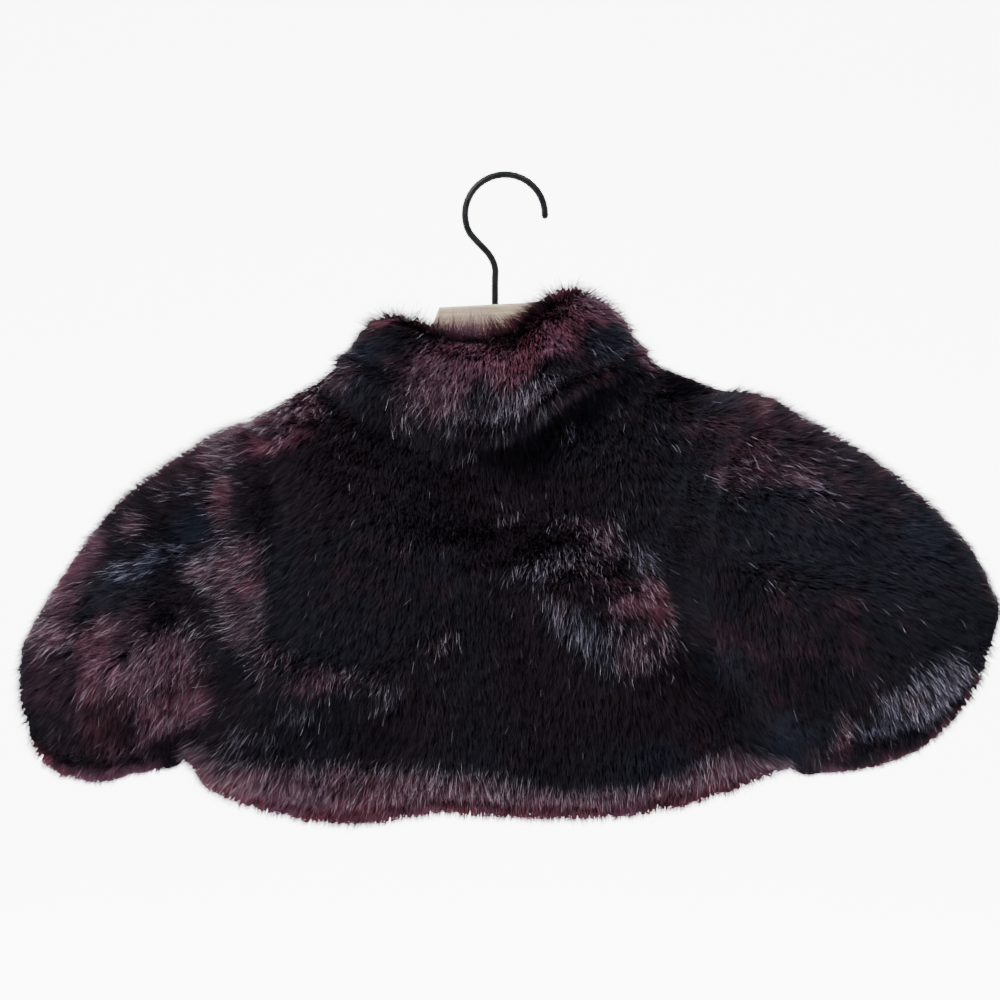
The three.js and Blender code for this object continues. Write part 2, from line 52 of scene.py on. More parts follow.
MM = 0.001
PILE = 9.5 * MM  # the pile's height over its backing, where the wall has room for it
BACKING_LEAST = 2.2 * MM  # the thinnest that a backing is left where the wall is pressed
BACKING_GRAIN = 3.6 * MM  # facet size of a backing
WALL = 14 * MM  # backing and pile together
LEAST_HEIGHT = 0.55  # the share of its height that the pile keeps where the backing isn't drawn in
SOFTENED = 3  # rounds that soften the corners of a backing
BOARD_SHOWS = {"x": -12 * MM, "half": 34 * MM}  # where the collar's rim crosses the hanger's board
VIEW_DISTANCE = 1.0
VIEW_WIDTH = 0.54  # what the camera takes in at the hanger
VIEW_CENTRE = Vector((-0.0027, 0.0, -0.1739))

PANELS = {
    # node: the way its pile is combed at its top and at its bottom edge, and how far it fans out sideways
    "back": {"top": (0.0, 0.0, -1.0), "bottom": (-0.12, 0.0, -1.0), "fan": 0.25},
    "front_left": {"top": (0.0, 0.0, -1.0), "bottom": (0.1, 0.0, -1.0), "fan": 0.2},
    "front_right": {"top": (0.0, 0.0, -1.0), "bottom": (-0.1, 0.0, -1.0), "fan": 0.2},
    "sleeve_left": {"top": (-1.0, 0.0, -0.15), "bottom": (-0.45, 0.0, -0.9), "fan": 0.0},
    "sleeve_right": {"top": (0.75, 0.0, -0.65), "bottom": (0.45, 0.0, -0.9), "fan": 0.0},
    "collar": {"top": (0.0, 0.0, -1.0), "bottom": (0.0, 0.0, -1.0), "fan": 0.8},
}

BODY = ("back", "front_left", "front_right")
SLEEVES = {"sleeve_left": -1, "sleeve_right": 1}

# Where something on a backing begins and where it is full. Between the two it comes in softly.
PILE_IN_AIR = (0.15, 0.32)  # pile, by how open the air is
LINING = (0.2, 0.6)  # bare lining side, by how squarely it faces the hollow
COLLAR_LINING = (5 * MM, 16 * MM)  # and in the collar, by how far it lies below the rim
SEAM_DRAWN_IN = (1 * MM, 9 * MM)  # drawing in of the backing, by how far from a seam it is
OUTLINE = (0.4, 0.95)  # the panel's outline, by how far it faces away from back and front
UNDERSIDE = (0.3, 0.9)  # under the hem and the cuffs, by how far it faces down
FLANKS = (20 * MM, 60 * MM)  # the sides of a panel, by how far out they lie
RIM_TOP = (0.45, 0.95)  # hairs that stand up on the collar's rim, by how far it faces up
STANDING = (0.0, 0.4)  # the burgundy and painted glints of those hairs, by how upright they are
COLLAR_RIM = (-110 * MM, -80 * MM)  # the rim's bunched places, by their height
AT_ARMHOLE = (2 * MM, 20 * MM)  # longer hairs of the body, by how near the armhole they are
BESIDE_ARMHOLE = (2 * MM, 26 * MM)  # and hairs that are combed out towards it
SLEEVE_END = (0.45, 0.95)  # a sleeve's end, by how far it faces out
SLEEVE_END_X = (0.19, 0.21)  # the same, by how far out it lies

# Strands per square metre, and each strand's own sizes.
UNDERCOAT = {"strands": 1.8e6, "length": 6.5 * MM, "width": 0.80 * MM, "rise": 0.95, "stray": 0.45,
             "clump": 0.2, "rows": 2, "sown_by": "sown", "seed": 3}
GUARD = {"strands": 1.15e6, "length": 8.0 * MM, "width": 0.42 * MM, "rise": 1.15, "stray": 0.35,
         "clump": 0.3, "rows": 2, "sown_by": "sown", "seed": 11}
# Fine hairs whose pale tips are painted glints
GLINT_COAT = {"strands": 1.2e6, "length": 8.0 * MM, "width": 0.28 * MM, "rise": 1.2, "stray": 0.45,
           "clump": 0.3, "rows": 3, "sown_by": "frosted", "seed": 23}

LENGTHS = (0.55, 1.15)  # the shortest and the longest strand, as shares of the length
SWIRLS = 26.0  # soft turns of the comb, to the metre
SWIRL_STRENGTH = 1.1
TUFTS = 150.0  # small tufts that hair tips lean to, to the metre
EVEN_RUN = 0.42  # how much of its run along the comb a strand makes evenly, and the rest near its tip
ARCH = 0.9  # how much more it rises near its root than near its tip
ERECT_RUN_LESS = 0.75  # how much less it runs where the pile stands up
LEAVING_RUN_LESS = 0.65  # and where the comb leads off the cloth at an edge
ERECT_RISE = 0.9  # how much of its length it rises where the pile stands up
TAPER = 0.35
EDGE_FINER = 0.6  # how much finer it is at an edge or on a rim

# What is left on the strands by their growing, and isn't read by a finish.
SPENT = ("up", "strand", "long", "roll", "side", "comb", "height", "sown", "frosted", "erect", "grown")

# Where the fur shows burgundy, where its hair tips are painted pale as glints and where it is navy, on the
# garment's back: soft patches, in millimetres, turned anticlockwise by some degrees, with how strong each
# dye is from 0 to 1. Their burgundy is partly the fur's own dye and partly painted highlight where the pile
# catches the light, as on the swell and over the shoulders.
PATCH_COLUMNS = ("x", "z", "wide", "tall", "turn", "red", "frost", "blue")
PATCHES = [
    # collar
    (-20, -106, 32, 14, 4, 1.0, 0.2, 0.0),
    (18, -97, 30, 13, 38, 1.0, 0.15, 0.0),
    (42, -72, 22, 12, -20, 0.8, 0.35, 0.0),
    (42, -60, 28, 8, -10, 0.8, 0.2, 0.0),
    (-60, -74, 26, 7, 15, 0.8, 0.2, 0.0),
    (-62, -83, 18, 7, 25, 0.6, 0.2, 0.0),
    (-38, -118, 20, 17, 20, 0.5, 0.75, 0.0),
    (6, -121, 20, 13, -5, 0.35, 0.8, 0.3),
    (-20, -132, 22, 9, 0, 0.15, 0.5, 0.2),
    (54, -93, 26, 13, -15, 0.1, 0.3, 1.0),
    (66, -82, 9, 15, 35, 0.85, 0.4, 0.0),
    (-73, -106, 18, 16, 60, 0.0, 0.08, 0.8),
    (46, -113, 28, 2.5, 27, 0.5, 0.25, 0.0),
    (75, -100, 14, 8, -15, 0.8, 0.4, 0.0),
    # back, under the collar
    (-10, -146, 14, 6, 35, 0.2, 0.55, 0.0),
    (44, -140, 20, 18, 30, 0.0, 0.3, 0.4),
    (78, -145, 22, 8, 0, 0.0, 0.18, 0.3),
    (110, -128, 20, 13, -20, 0.0, 0.0, 1.0),
    # left shoulder and armhole
    (-124, -127, 46, 14, 27, 0.7, 0.65, 0.0),
    (-112, -131, 24, 13, 30, 0.75, 0.85, 0.0),
    (-118, -147, 26, 6, 5, 0.75, 0.2, 0.0),
    (-153, -150, 10, 14, 10, 0.5, 0.75, 0.0),
    (-151, -173, 9, 18, 0, 0.55, 0.6, 0.0),
    (-152, -207, 22, 11, 25, 0.5, 0.65, 0.0),
    (-147, -220, 18, 14, 35, 0.5, 0.7, 0.0),
    (-137, -219, 6, 12, 15, 0.6, 0.3, 0.0),
    (-133, -243, 9, 24, 22, 0.4, 0.65, 0.0),
    (-118, -260, 10, 8, 0, 0.4, 0.6, 0.0),
    # left sleeve
    (-205, -270, 58, 42, -10, 0.42, 0.22, 0.0),
    (-236, -215, 20, 40, -38, 0.5, 0.12, 0.0),
    (-140, -136, 60, 16, 27, 0.5, 0.25, 0.0),
    (-188, -160, 34, 10, 38, 0.5, 0.12, 0.0),
    (-175, -170, 20, 5, 10, 0.2, 0.35, 0.2),
    (-199, -186, 6, 12, 0, 0.4, 0.35, 0.0),
    (-167, -193, 17, 14, 20, 0.0, 0.1, 1.0),
    (-190, -209, 26, 5, 18, 0.0, 0.8, 1.0),
    (-200, -222, 26, 8, 10, 0.05, 0.1, 0.6),
    (-217, -199, 12, 10, 20, 0.5, 0.35, 0.0),
    (-232, -240, 12, 26, -15, 0.5, 0.5, 0.0),
    (-240, -270, 14, 22, 0, 0.45, 0.25, 0.0),
    (-205, -258, 34, 24, 0, 0.55, 0.4, 0.0),
    (-180, -262, 24, 18, 35, 0.7, 0.8, 0.0),
    (-176, -286, 24, 12, 35, 1.0, 0.8, 0.0),
    (-205, -303, 32, 12, 0, 0.48, 0.2, 0.0),
    # back, left half
    (-97, -271, 26, 8, 0, 0.5, 0.6, 0.0),
    (-62, -276, 12, 8, 35, 0.1, 0.5, 0.0),
    (-108, -286, 14, 6, 0, 0.1, 0.45, 0.2),
    (-35, -252, 6, 14, -25, 0.25, 0.3, 0.0),
    (-42, -206, 20, 4, 0, 0.15, 0.25, 0.1),
    (-70, -215, 50, 34, 0, 0.2, 0.02, 0.0),
    (-134, -302, 14, 18, 10, 0.15, 0.32, 0.1),
    # the swell on the right of the back, with painted highlight and painted glints
    (50, -199, 23, 14, -20, 0.4, 0.5, 0.0),
    (28, -212, 12, 9, 0, 0.1, 0.8, 0.3),
    (10, -216, 10, 5, 0, 0.1, 0.4, 0.0),
    (70, -211, 8, 11, 10, 0.1, 0.7, 0.3),
    (2, -188, 6, 10, 0, 0.2, 0.4, 0.0),
    (54, -221, 24, 8, -10, 0.45, 0.5, 0.0),
    (70, -231, 18, 11, 5, 0.85, 0.7, 0.0),
    (41, -243, 24, 7, -42, 0.05, 0.85, 0.4),
    (71, -254, 15, 14, 0, 0.5, 0.65, 0.0),
    # back, right half
    (118, -165, 16, 9, -15, 0.5, 0.45, 0.0),
    (146, -166, 26, 8, -20, 0.5, 0.42, 0.0),
    (165, -177, 10, 10, 0, 0.3, 0.35, 0.0),
    (115, -258, 16, 12, 0, 0.0, 0.0, 0.9),
    (110, -298, 22, 14, 0, 0.3, 0.03, 0.2),
    (80, -312, 24, 11, 0, 0.0, 0.0, 0.7),
    (146, -300, 18, 14, 0, 0.0, 0.0, 1.0),
    # right shoulder and sleeve
    (150, -148, 74, 28, -24, 0.42, 0.16, 0.6),
    (95, -108, 22, 7, -30, 0.5, 0.12, 0.0),
    (140, -121, 26, 7, -8, 0.4, 0.1, 0.0),
    (182, -140, 26, 8, -32, 0.5, 0.1, 0.0),
    (225, -175, 32, 8, -42, 0.5, 0.12, 0.0),
    (255, -212, 7, 20, 10, 0.5, 0.1, 0.0),
    (160, -190, 60, 28, -20, 0.05, 0.03, 0.6),
    (225, -202, 28, 16, -40, 0.0, 0.0, 1.0),
    (150, -246, 44, 34, 0, 0.34, 0.05, 0.0),
    (143, -273, 26, 8, -50, 0.32, 0.05, 0.0),
    (217, -281, 27, 14, 35, 0.3, 1.0, 1.0),
    (192, -294, 18, 9, 20, 0.2, 0.4, 0.9),
    (177, -299, 7, 14, 5, 0.55, 0.4, 0.2),
]
# How deep the band of painted sheen over the hem is, burgundy with painted glints, in millimetres, at
# places along X.
HEM_SHEEN_BAND = [(-150, 22), (-90, 32), (-20, 26), (30, 18), (75, 18), (115, 27), (150, 8)]
CUFF_EDGE = 10 * MM  # how far up from its end a cuff is painted burgundy, as painted sheen
CUFF_PROUD = {"sleeve_left": 4.0 * MM, "sleeve_right": 6.0 * MM}  # how far a cuff swells under its pile
TIPS_FROM_ROOTS = 6 * MM  # how far along the comb the colour that shows lies from its root
COLLAR_LUMPS = [(-60, 20, 6.5), (37, 18, 5.5)]  # rim: place along X, half-width and lift, in millimetres

# How much longer or shorter than elsewhere the pile is cut, as shares of its height.
COLLAR_FRINGE = {"above": -104 * MM, "below": -132 * MM, "longer": 0.7}  # where it starts and is full
RIM_LONGER = 0.9  # the hairs that stand up along the collar's rim
OVER_ARMHOLE = 0.9  # the body's hairs that fall over a sleeve's seam
OUT_TO_ARMHOLE = 2.4  # how strongly those are combed outwards
RIM_SHORTER = 0.35  # the collar's rim
HEM_SHORTER = 0.35  # under the hem
CUFF_SHORTER = 0.65  # round a cuff's end

# The ragged edges of the patches: how many rags to the metre, how far they reach, and a shift that keeps
# each of their three directions apart from the others.
RAGS = 60.0
RAG_REACH = 7 * MM
RAG_SHIFTS = (31.4, 47.9, 88.2)

# Soft random mottling: how many spots to the metre, and a shift that keeps each kind apart from the others.
MOTTLES = {
    "red": (17.0, 3.1),
    "fine_red": (46.0, 14.2),
    "frost": (23.0, 9.7),
    "fine_frost": (60.0, 17.7),
    "blue": (13.0, 21.0),
    "tufts": (75.0, 5.3),
}

# How strong the dyes and the painted light (highlight, sheen and glints) are away from the patches, from 0
# to 1.
FRONT_RED = 0.62
FRONT_BLUE = 0.6
RIDGE_HIGHLIGHT_RED = 0.28
RIDGE_PAINTED_GLINT = 0.25
OUTLINE_SHEEN_RED = 0.55
STANDING_RED = 0.75  # on the hairs that stand up before the hanger's board
# painted glints on the tips of the hairs that stand up before the board
STANDING_PAINTED_GLINT = 0.8
CUFF_SHEEN_RED = 0.9
CUFF_PAINTED_GLINT = 0.3
STRAY_PAINTED_GLINT = 0.004  # how thinly the hairs with painted glints on their tips are sown between the patches

# Main creases: soft ridges (lift over 0) and troughs (under 0), in millimetres. Their side is -1 on the
# back and 1 in front.
CREASE_COLUMNS = ("side", "x0", "z0", "x1", "z1", "bow", "wide", "lift")
CREASES = [
    (-1, -143, -232, -34, -246, -32, 11, 5.0),  # a swag across the left of the back
    (-1, -134, -292, -44, -300, -8, 14, -5.0),
    (-1, 8, -206, 88, -268, 10, 20, 5.5),  # swell on the right of the back
    (-1, 98, -196, 108, -300, 6, 11, -6.5),
    (-1, -6, -190, 32, -282, -4, 16, -3.5),
    (-1, -128, -150, -128, -226, 5, 11, -4.0),  # beside the left armhole
    (-1, -60, -176, 40, -168, -10, 16, -2.5),
    (-1, 82, -118, 176, -176, 8, 12, 3.5),  # over the right shoulder
    (-1, 104, -188, 188, -206, -6, 13, -4.5),
    (-1, 120, -214, 226, -250, 10, 16, 3.0),
    (-1, 128, -270, 214, -296, 6, 12, -3.0),
    (-1, -182, -176, -160, -216, 4, 12, -5.0),  # hollows in the left sleeve
    (-1, -222, -212, -198, -250, 4, 11, -4.5),
    (-1, -176, -232, -232, -268, 5, 12, 3.0),
    (1, -120, -170, -40, -240, 12, 14, -4.0),
    (1, -92, -232, -20, -286, -10, 16, 4.5),
    (1, 34, -166, 112, -222, 8, 13, -4.5),
    (1, 40, -256, 122, -300, 6, 15, 4.0),
    (1, -150, -262, -84, -306, 6, 12, -3.5),
    (1, 120, -160, 214, -206, 10, 14, -4.0),
    (1, 140, -236, 226, -272, 8, 14, 3.5),
    (1, -178, -170, -224, -226, 6, 13, -4.0),
    (1, -170, -240, -226, -280, 5, 13, 3.5),
]


# ---------------------------------------------------------------- node helpers


def set_sockets(node, values):
    """Sets a node's inputs by name or place, or links them where the value is another node's output."""
    tree = node.id_data
    for key, value in values.items():
        socket = node.inputs[key]
        if isinstance(value, bpy.types.NodeSocket):
            tree.links.new(value, socket)
        else:
            socket.default_value = value
    return node


def add(tree, kind, values=None, **settings):
    """A new node, with its settings made before its inputs are set."""
    node = tree.nodes.new(kind)
    for key, value in settings.items():
        setattr(node, key, value)
    return set_sockets(node, values or {})


class Maths:
    """Short forms for arithmetic in one node tree: on numbers with do, on vectors with the others."""

    def __init__(self, tree):
        self.tree = tree

    def do(self, operation, *values):
        node = add(self.tree, "ShaderNodeMath", dict(enumerate(values)), operation=operation)
        return node.outputs[0]

    def vec(self, operation, *values):
        node = add(self.tree, "ShaderNodeVectorMath", dict(enumerate(values)), operation=operation)
        return node.outputs["Value" if operation in ("DOT_PRODUCT", "LENGTH") else "Vector"]

    def scale(self, vector, factor):
        node = add(self.tree, "ShaderNodeVectorMath", {0: vector, "Scale": factor}, operation="SCALE")
        return node.outputs["Vector"]

    def sum(self, *vectors):
        total = vectors[0]
        for vector in vectors[1:]:
            total = self.vec("ADD", total, vector)
        return total

    def unit(self, vector):
        return self.vec("NORMALIZE", vector)

    def flat(self, vector, normal):
        """The vector without its part along the normal."""
        return self.vec("SUBTRACT", vector, self.scale(normal, self.vec("DOT_PRODUCT", vector, normal)))

    def clear(self, vector, normal):
        """The vector, kept from running into the surface."""
        into = self.do("MINIMUM", self.vec("DOT_PRODUCT", vector, normal), 0.0)
        return self.vec("SUBTRACT", vector, self.scale(normal, into))


# ---------------------------------------------------------------- values on vertices


def smooth_step(values, low, high):
    """From 0 at the low value to 1 at the high one, with soft ends."""
    part = np.clip((values - low) / (high - low), 0, 1)
    return part * part * (3 - 2 * part)


def mottle(points, scale, shift):
    """Soft random patches from 0 to 1."""
    drift = Vector((shift, 0, 0))
    return np.array([0.5 + 0.5 * noise.noise(Vector(p) * scale + drift) for p in points])


# ---------------------------------------------------------------- backing


def merged_copy(node, name):
    """A CAD node's form as a new object with its vertices joined."""
    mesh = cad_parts[node].data.copy()
    mesh.name = name
    form = bmesh.new()
    form.from_mesh(mesh)
    bmesh.ops.remove_doubles(form, verts=form.verts, dist=1e-6)
    form.to_mesh(mesh)
    form.free()
    mesh.materials.clear()
    obj = bpy.data.objects.new(name, mesh)
    bpy.context.scene.collection.objects.link(obj)
    return obj


def arrays(mesh):
    """A mesh's vertices and their normals."""
    points = np.empty(len(mesh.vertices) * 3)
    mesh.vertices.foreach_get("co", points)
    normals = np.empty(len(mesh.vertices) * 3)
    mesh.vertex_normals.foreach_get("vector", normals)
    return points.reshape(-1, 3), normals.reshape(-1, 3)


def edge_array(mesh):
    edges = np.empty(len(mesh.edges) * 2, dtype=np.int64)
    mesh.edges.foreach_get("vertices", edges)
    return edges.reshape(-1, 2)


def relaxed(values, edges, rounds):
    """Values on vertices, each moved to the mean of itself and its neighbours some times over."""
    count = np.bincount(edges.ravel(), minlength=len(values)).astype(float)
    for _ in range(rounds):
        total = np.zeros_like(values)
        np.add.at(total, edges[:, 0], values[edges[:, 1]])
        np.add.at(total, edges[:, 1], values[edges[:, 0]])
        weight = count if values.ndim == 1 else count[:, None]
        values = 0.5 * values + 0.5 * total / weight
    return values


def sky_directions(count):
    """Directions spread evenly over a sphere."""
    k = np.arange(count) + 0.5
    height = 1 - 2 * k / count
    turn = math.pi * (1 + math.sqrt(5)) * k
    level = np.sqrt(1 - height**2)
    return np.stack([np.cos(turn) * level, np.sin(turn) * level, height], axis=1)


SKY = sky_directions(26)  # the ways in which open air is looked for


def openness(points, normals, garment):
    """How much of the air in front of each vertex is open, from 0 inside a hollow to 1 outside."""
    least_facing, off_surface, reach = 0.25, 2.5 * MM, 0.6
    found = np.zeros(len(points))
    for i, (point, normal) in enumerate(zip(points, normals)):
        facing = SKY[SKY @ normal > least_facing]
        start = Vector(point + normal * off_surface)
        clear = sum(garment.ray_cast(start, Vector(way), reach)[0] is None for way in facing)
        found[i] = clear / max(len(facing), 1)
    return found


def wall_depth(obj, points, normals):
    """How thick the wall is under each vertex."""
    skin, thickest = 0.4 * MM, 40 * MM
    own = BVHTree.FromObject(obj, bpy.context.evaluated_depsgraph_get())
    depth = np.full(len(points), WALL)
    for i, (point, normal) in enumerate(zip(points, normals)):
        far_side = own.ray_cast(Vector(point - normal * skin), Vector(-normal), thickest)
        if far_side[0] is not None:
            depth[i] = far_side[3] + skin
    return depth


def put(mesh, name, kind, values):
    """Leaves a value on each vertex, for the pile and its finishes to read."""
    attribute = mesh.attributes.new(name, kind, "POINT")
    attribute.data.foreach_set("value" if kind == "FLOAT" else "vector", values.astype(np.float32).ravel())


def panel_tree(nodes):
    """A target for rays and for distances, made of some of the garment's panels."""
    vertices, faces = [], []
    for node in nodes:
        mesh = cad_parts[node].data
        base = len(vertices)
        vertices.extend(v.co.copy() for v in mesh.vertices)
        faces.extend([base + i for i in p.vertices] for p in mesh.polygons)
    return BVHTree.FromPolygons(vertices, faces)


def away_from(nodes, points):
    """How far each vertex is from the nearest of some panels."""
    target = panel_tree(nodes)
    return np.array([target.find_nearest(Vector(point))[3] for point in points])


def crease_shift(points):
    """How far each point moves along Y for the main creases."""
    shift = np.zeros(len(points))
    for row in CREASES:
        crease = dict(zip(CREASE_COLUMNS, row))
        start = np.array([crease["x0"], crease["z0"]]) * MM
        run = np.array([crease["x1"], crease["z1"]]) * MM - start
        length = np.linalg.norm(run)
        run = run / length
        offset = points[:, [0, 2]] - start
        along = offset @ run / length
        bow = crease["bow"] * MM * (1 - (2 * np.clip(along, 0, 1) - 1) ** 2)
        across = offset @ np.array([-run[1], run[0]]) - bow
        ends = smooth_step(along, -0.12, 0.3) * (1 - smooth_step(along, 0.7, 1.12))
        profile = np.exp(-((across / (crease["wide"] * MM)) ** 2))
        this_side = smooth_step(points[:, 1] * crease["side"], 0, 12 * MM)
        shift += crease["side"] * crease["lift"] * MM * profile * ends * this_side
    return shift


def lumps(points):
    """How far the collar's rim stands up where it is bunched."""
    rise = np.zeros(len(points))
    rim = smooth_step(points[:, 2], *COLLAR_RIM) * (points[:, 1] < 0)
    for x, wide, lift in COLLAR_LUMPS:
        rise += lift * MM * np.exp(-(((points[:, 0] - x * MM) / (wide * MM)) ** 2)) * rim
    return rise


def over_board(points):
    """From 1 where the collar's rim crosses the hanger's board to little beside it."""
    return 0.3 + 0.7 * np.exp(-(((points[:, 0] - BOARD_SHOWS["x"]) / BOARD_SHOWS["half"]) ** 4))


def fringed(node, points):
    """How much longer the pile grows at each vertex: at the collar's edge and over the armholes."""
    if node == "collar":
        below = smooth_step(-points[:, 2], -COLLAR_FRINGE["above"], -COLLAR_FRINGE["below"])
        return 1 + COLLAR_FRINGE["longer"] * below * smooth_step(-points[:, 1], -10 * MM, 10 * MM)
    if node in BODY:
        nearest = np.minimum(*(away_from([sleeve], points) for sleeve in SLEEVES))
        return 1 + OVER_ARMHOLE * (1 - smooth_step(nearest, *AT_ARMHOLE))
    return np.ones(len(points))


def inward(node, points, normals):
    """How squarely each vertex faces the garment's own hollow, from 0 to 1."""
    middle = (points.min(axis=0) + points.max(axis=0)) / 2
    if node == "back":
        return np.clip(normals[:, 1], 0, 1)
    if node in ("front_left", "front_right"):
        return np.clip(-normals[:, 1], 0, 1)
    away = points - middle
    away[:, 2] = 0
    if node != "collar":
        away[:, 0] = 0
    away = np.clip(away / (10 * MM), -1, 1)
    return np.clip(-np.sum(away * normals, axis=1), 0, 1)


def remeshed(node):
    """A panel's form with even facets and softened corners."""
    obj = merged_copy(node, node + "_backing")
    obj.data.remesh_voxel_size = BACKING_GRAIN
    bpy.context.view_layer.objects.active = obj
    bpy.ops.object.voxel_remesh()
    mesh = obj.data
    points, _ = arrays(mesh)
    mesh.vertices.foreach_set("co", relaxed(points, edge_array(mesh), SOFTENED).ravel())
    mesh.update()
    return obj


def furriness(node, points, normals, edges, garment):
    """How thickly the pile covers each vertex, from 0 on the lining side to 1 outside."""
    open_air = relaxed(openness(points, normals, garment), edges, 8)
    lining = smooth_step(inward(node, points, normals), *LINING)
    if node == "collar":
        below_rim = edge_height(points, 1) - points[:, 2]
        lining = lining * smooth_step(below_rim, *COLLAR_LINING)
    lining = relaxed(lining, edges, 2)
    return smooth_step(open_air, *PILE_IN_AIR) * (1 - lining)


def left_proud(node, points, normals, outline, under):
    """How much of the solid's reach the backing keeps at the panel's edges, from 0 to 1."""
    on_top, more_below, below = 0.5, 0.3, 0.95
    flanks = smooth_step(np.abs(points[:, 0]), *FLANKS)
    not_up = normals[:, 2] < 0.2
    share = 0.6 if node == "collar" else 1.0
    sides = outline * flanks * (on_top + more_below * not_up) * share
    return np.maximum(sides, below * under)


def make_backing(node, garment):
    """A panel's knitted backing: its solid's form, with the outside drawn in to leave room for the pile."""
    obj = remeshed(node)
    mesh = obj.data
    edges = edge_array(mesh)
    points, normals = arrays(mesh)
    furry = furriness(node, points, normals, edges, garment)
    depth = relaxed(wall_depth(obj, points, normals), edges, 4)
    room = np.clip(np.minimum(PILE, depth - BACKING_LEAST), 0, PILE) * furry
    seam = away_from([other for other in PANELS if other != node], points)
    outline = smooth_step(1 - np.abs(normals[:, 1]), *OUTLINE)
    under = smooth_step(-normals[:, 2], *UNDERSIDE)
    drawn = relaxed(1 - left_proud(node, points, normals, outline, under), edges, 6)
    inset = relaxed(room * smooth_step(seam, *SEAM_DRAWN_IN) * drawn, edges, 4)
    points = points - normals * inset[:, None]
    points[:, 1] += relaxed(crease_shift(points), edges, 2)
    if node == "collar":
        points[:, 2] += lumps(points)
    if node in CUFF_PROUD:
        points += normals * (under * CUFF_PROUD[node])[:, None]
    mesh.vertices.foreach_set("co", points.ravel())
    mesh.update()
    _, normals = arrays(mesh)
    comb = combed(node, points, normals)
    erect = smooth_step(normals[:, 2], *RIM_TOP) * (node == "collar") * over_board(points)
    tips = points + comb * (TIPS_FROM_ROOTS * (1 - erect))[:, None]
    red, frost, blue = dye_and_painted_light(node, points, normals, edges, seam, tips)
    standing = smooth_step(erect, *STANDING)
    red = np.maximum(red, STANDING_RED * standing)
    frost = np.maximum(frost, STANDING_PAINTED_GLINT * standing)
    height = inset + LEAST_HEIGHT * (PILE * furry - inset)
    height = height * cut_short(node, points, normals, outline, under)
    put(mesh, "sown", "FLOAT", furry * (1 + under))
    put(mesh, "height", "FLOAT", height)
    put(mesh, "red", "FLOAT", red)
    put(mesh, "blue", "FLOAT", blue)
    put(mesh, "comb", "FLOAT_VECTOR", comb)
    put(mesh, "frosted", "FLOAT", furry * (STRAY_PAINTED_GLINT + (1 - STRAY_PAINTED_GLINT) * frost))
    put(mesh, "erect", "FLOAT", erect)
    put(mesh, "grown", "FLOAT", fringed(node, points) + RIM_LONGER * erect)
    return obj


def cut_short(node, points, normals, outline, under):
    """What is left of the pile's height at each vertex where it is cut short: rim, hem and cuffs."""
    left = 1 - RIM_SHORTER * outline * (node == "collar") - HEM_SHORTER * under * (node in BODY)
    if node in SLEEVES:
        end = smooth_step(SLEEVES[node] * normals[:, 0], *SLEEVE_END)
        end = end * smooth_step(np.abs(points[:, 0]), *SLEEVE_END_X)
        left -= CUFF_SHORTER * np.maximum(under, end)
    return left


def edge_height(points, side):
    """The height of the panel's lower (side -1) or upper (side 1) edge over or under each vertex."""
    column_width, averaged = 6 * MM, 7
    columns = np.round(points[:, 0] / column_width).astype(int)
    columns -= columns.min()
    furthest = np.full(columns.max() + 1, -np.inf)
    np.maximum.at(furthest, columns, points[:, 2] * side)
    padded = np.pad(furthest, averaged // 2, mode="edge")
    furthest = np.convolve(padded, np.ones(averaged) / averaged, mode="valid")
    return furthest[columns] * side


def combed(node, points, normals):
    """The way that the pile lies on each vertex, along the surface."""
    panel = PANELS[node]
    low, high = points[:, 2].min(), points[:, 2].max()
    down = smooth_step((high - points[:, 2]) / (high - low), 0.15, 0.85)[:, None]
    way = np.array(panel["top"]) * (1 - down) + np.array(panel["bottom"]) * down
    middle = points.mean(axis=0)
    fan = panel["fan"] * smooth_step(np.abs(normals[:, 1]), 0.2, 0.7)
    way[:, 0] += fan * (points[:, 0] - middle[0]) / np.ptp(points[:, 0]) * 2
    if node in BODY:
        for sleeve, side in SLEEVES.items():
            near = 1 - smooth_step(away_from([sleeve], points), *BESIDE_ARMHOLE)
            way[:, 0] += side * OUT_TO_ARMHOLE * near
    way -= normals * np.minimum(np.sum(way * normals, axis=1), 0)[:, None]
    return way / np.linalg.norm(way, axis=1)[:, None]


def swelling(points, normals, edges):
    """How far each vertex stands out of the cloth round it, in metres."""
    return relaxed(np.sum((points - relaxed(points, edges, 40)) * normals, axis=1), edges, 3)


def drifted(points):
    """Points moved a little by a soft noise, so that what is drawn on them gets a ragged edge."""
    ways = [mottle(points, RAGS, shift) for shift in RAG_SHIFTS]
    return points + RAG_REACH * (2 * np.stack(ways, axis=1) - 1)


def patched(tips):
    """The burgundy, the painted glints and the navy of the patches on the garment's back; their burgundy is
    partly painted highlight.
    """
    red, frost, blue = np.zeros(len(tips)), np.zeros(len(tips)), np.zeros(len(tips))
    spread, steep = 0.85, 1.4
    ragged = drifted(tips)
    for row in PATCHES:
        patch = dict(zip(PATCH_COLUMNS, row))
        turn = math.radians(patch["turn"])
        x = ragged[:, 0] - patch["x"] * MM
        z = ragged[:, 2] - patch["z"] * MM
        across = (x * math.cos(turn) + z * math.sin(turn)) / (patch["wide"] * MM)
        up = (z * math.cos(turn) - x * math.sin(turn)) / (patch["tall"] * MM)
        near = np.exp(-((spread * (across**2 + up**2)) ** steep))
        red = np.maximum(red, near * patch["red"])
        frost = np.maximum(frost, near * patch["frost"])
        blue = np.maximum(blue, near * patch["blue"])
    return red, frost, blue


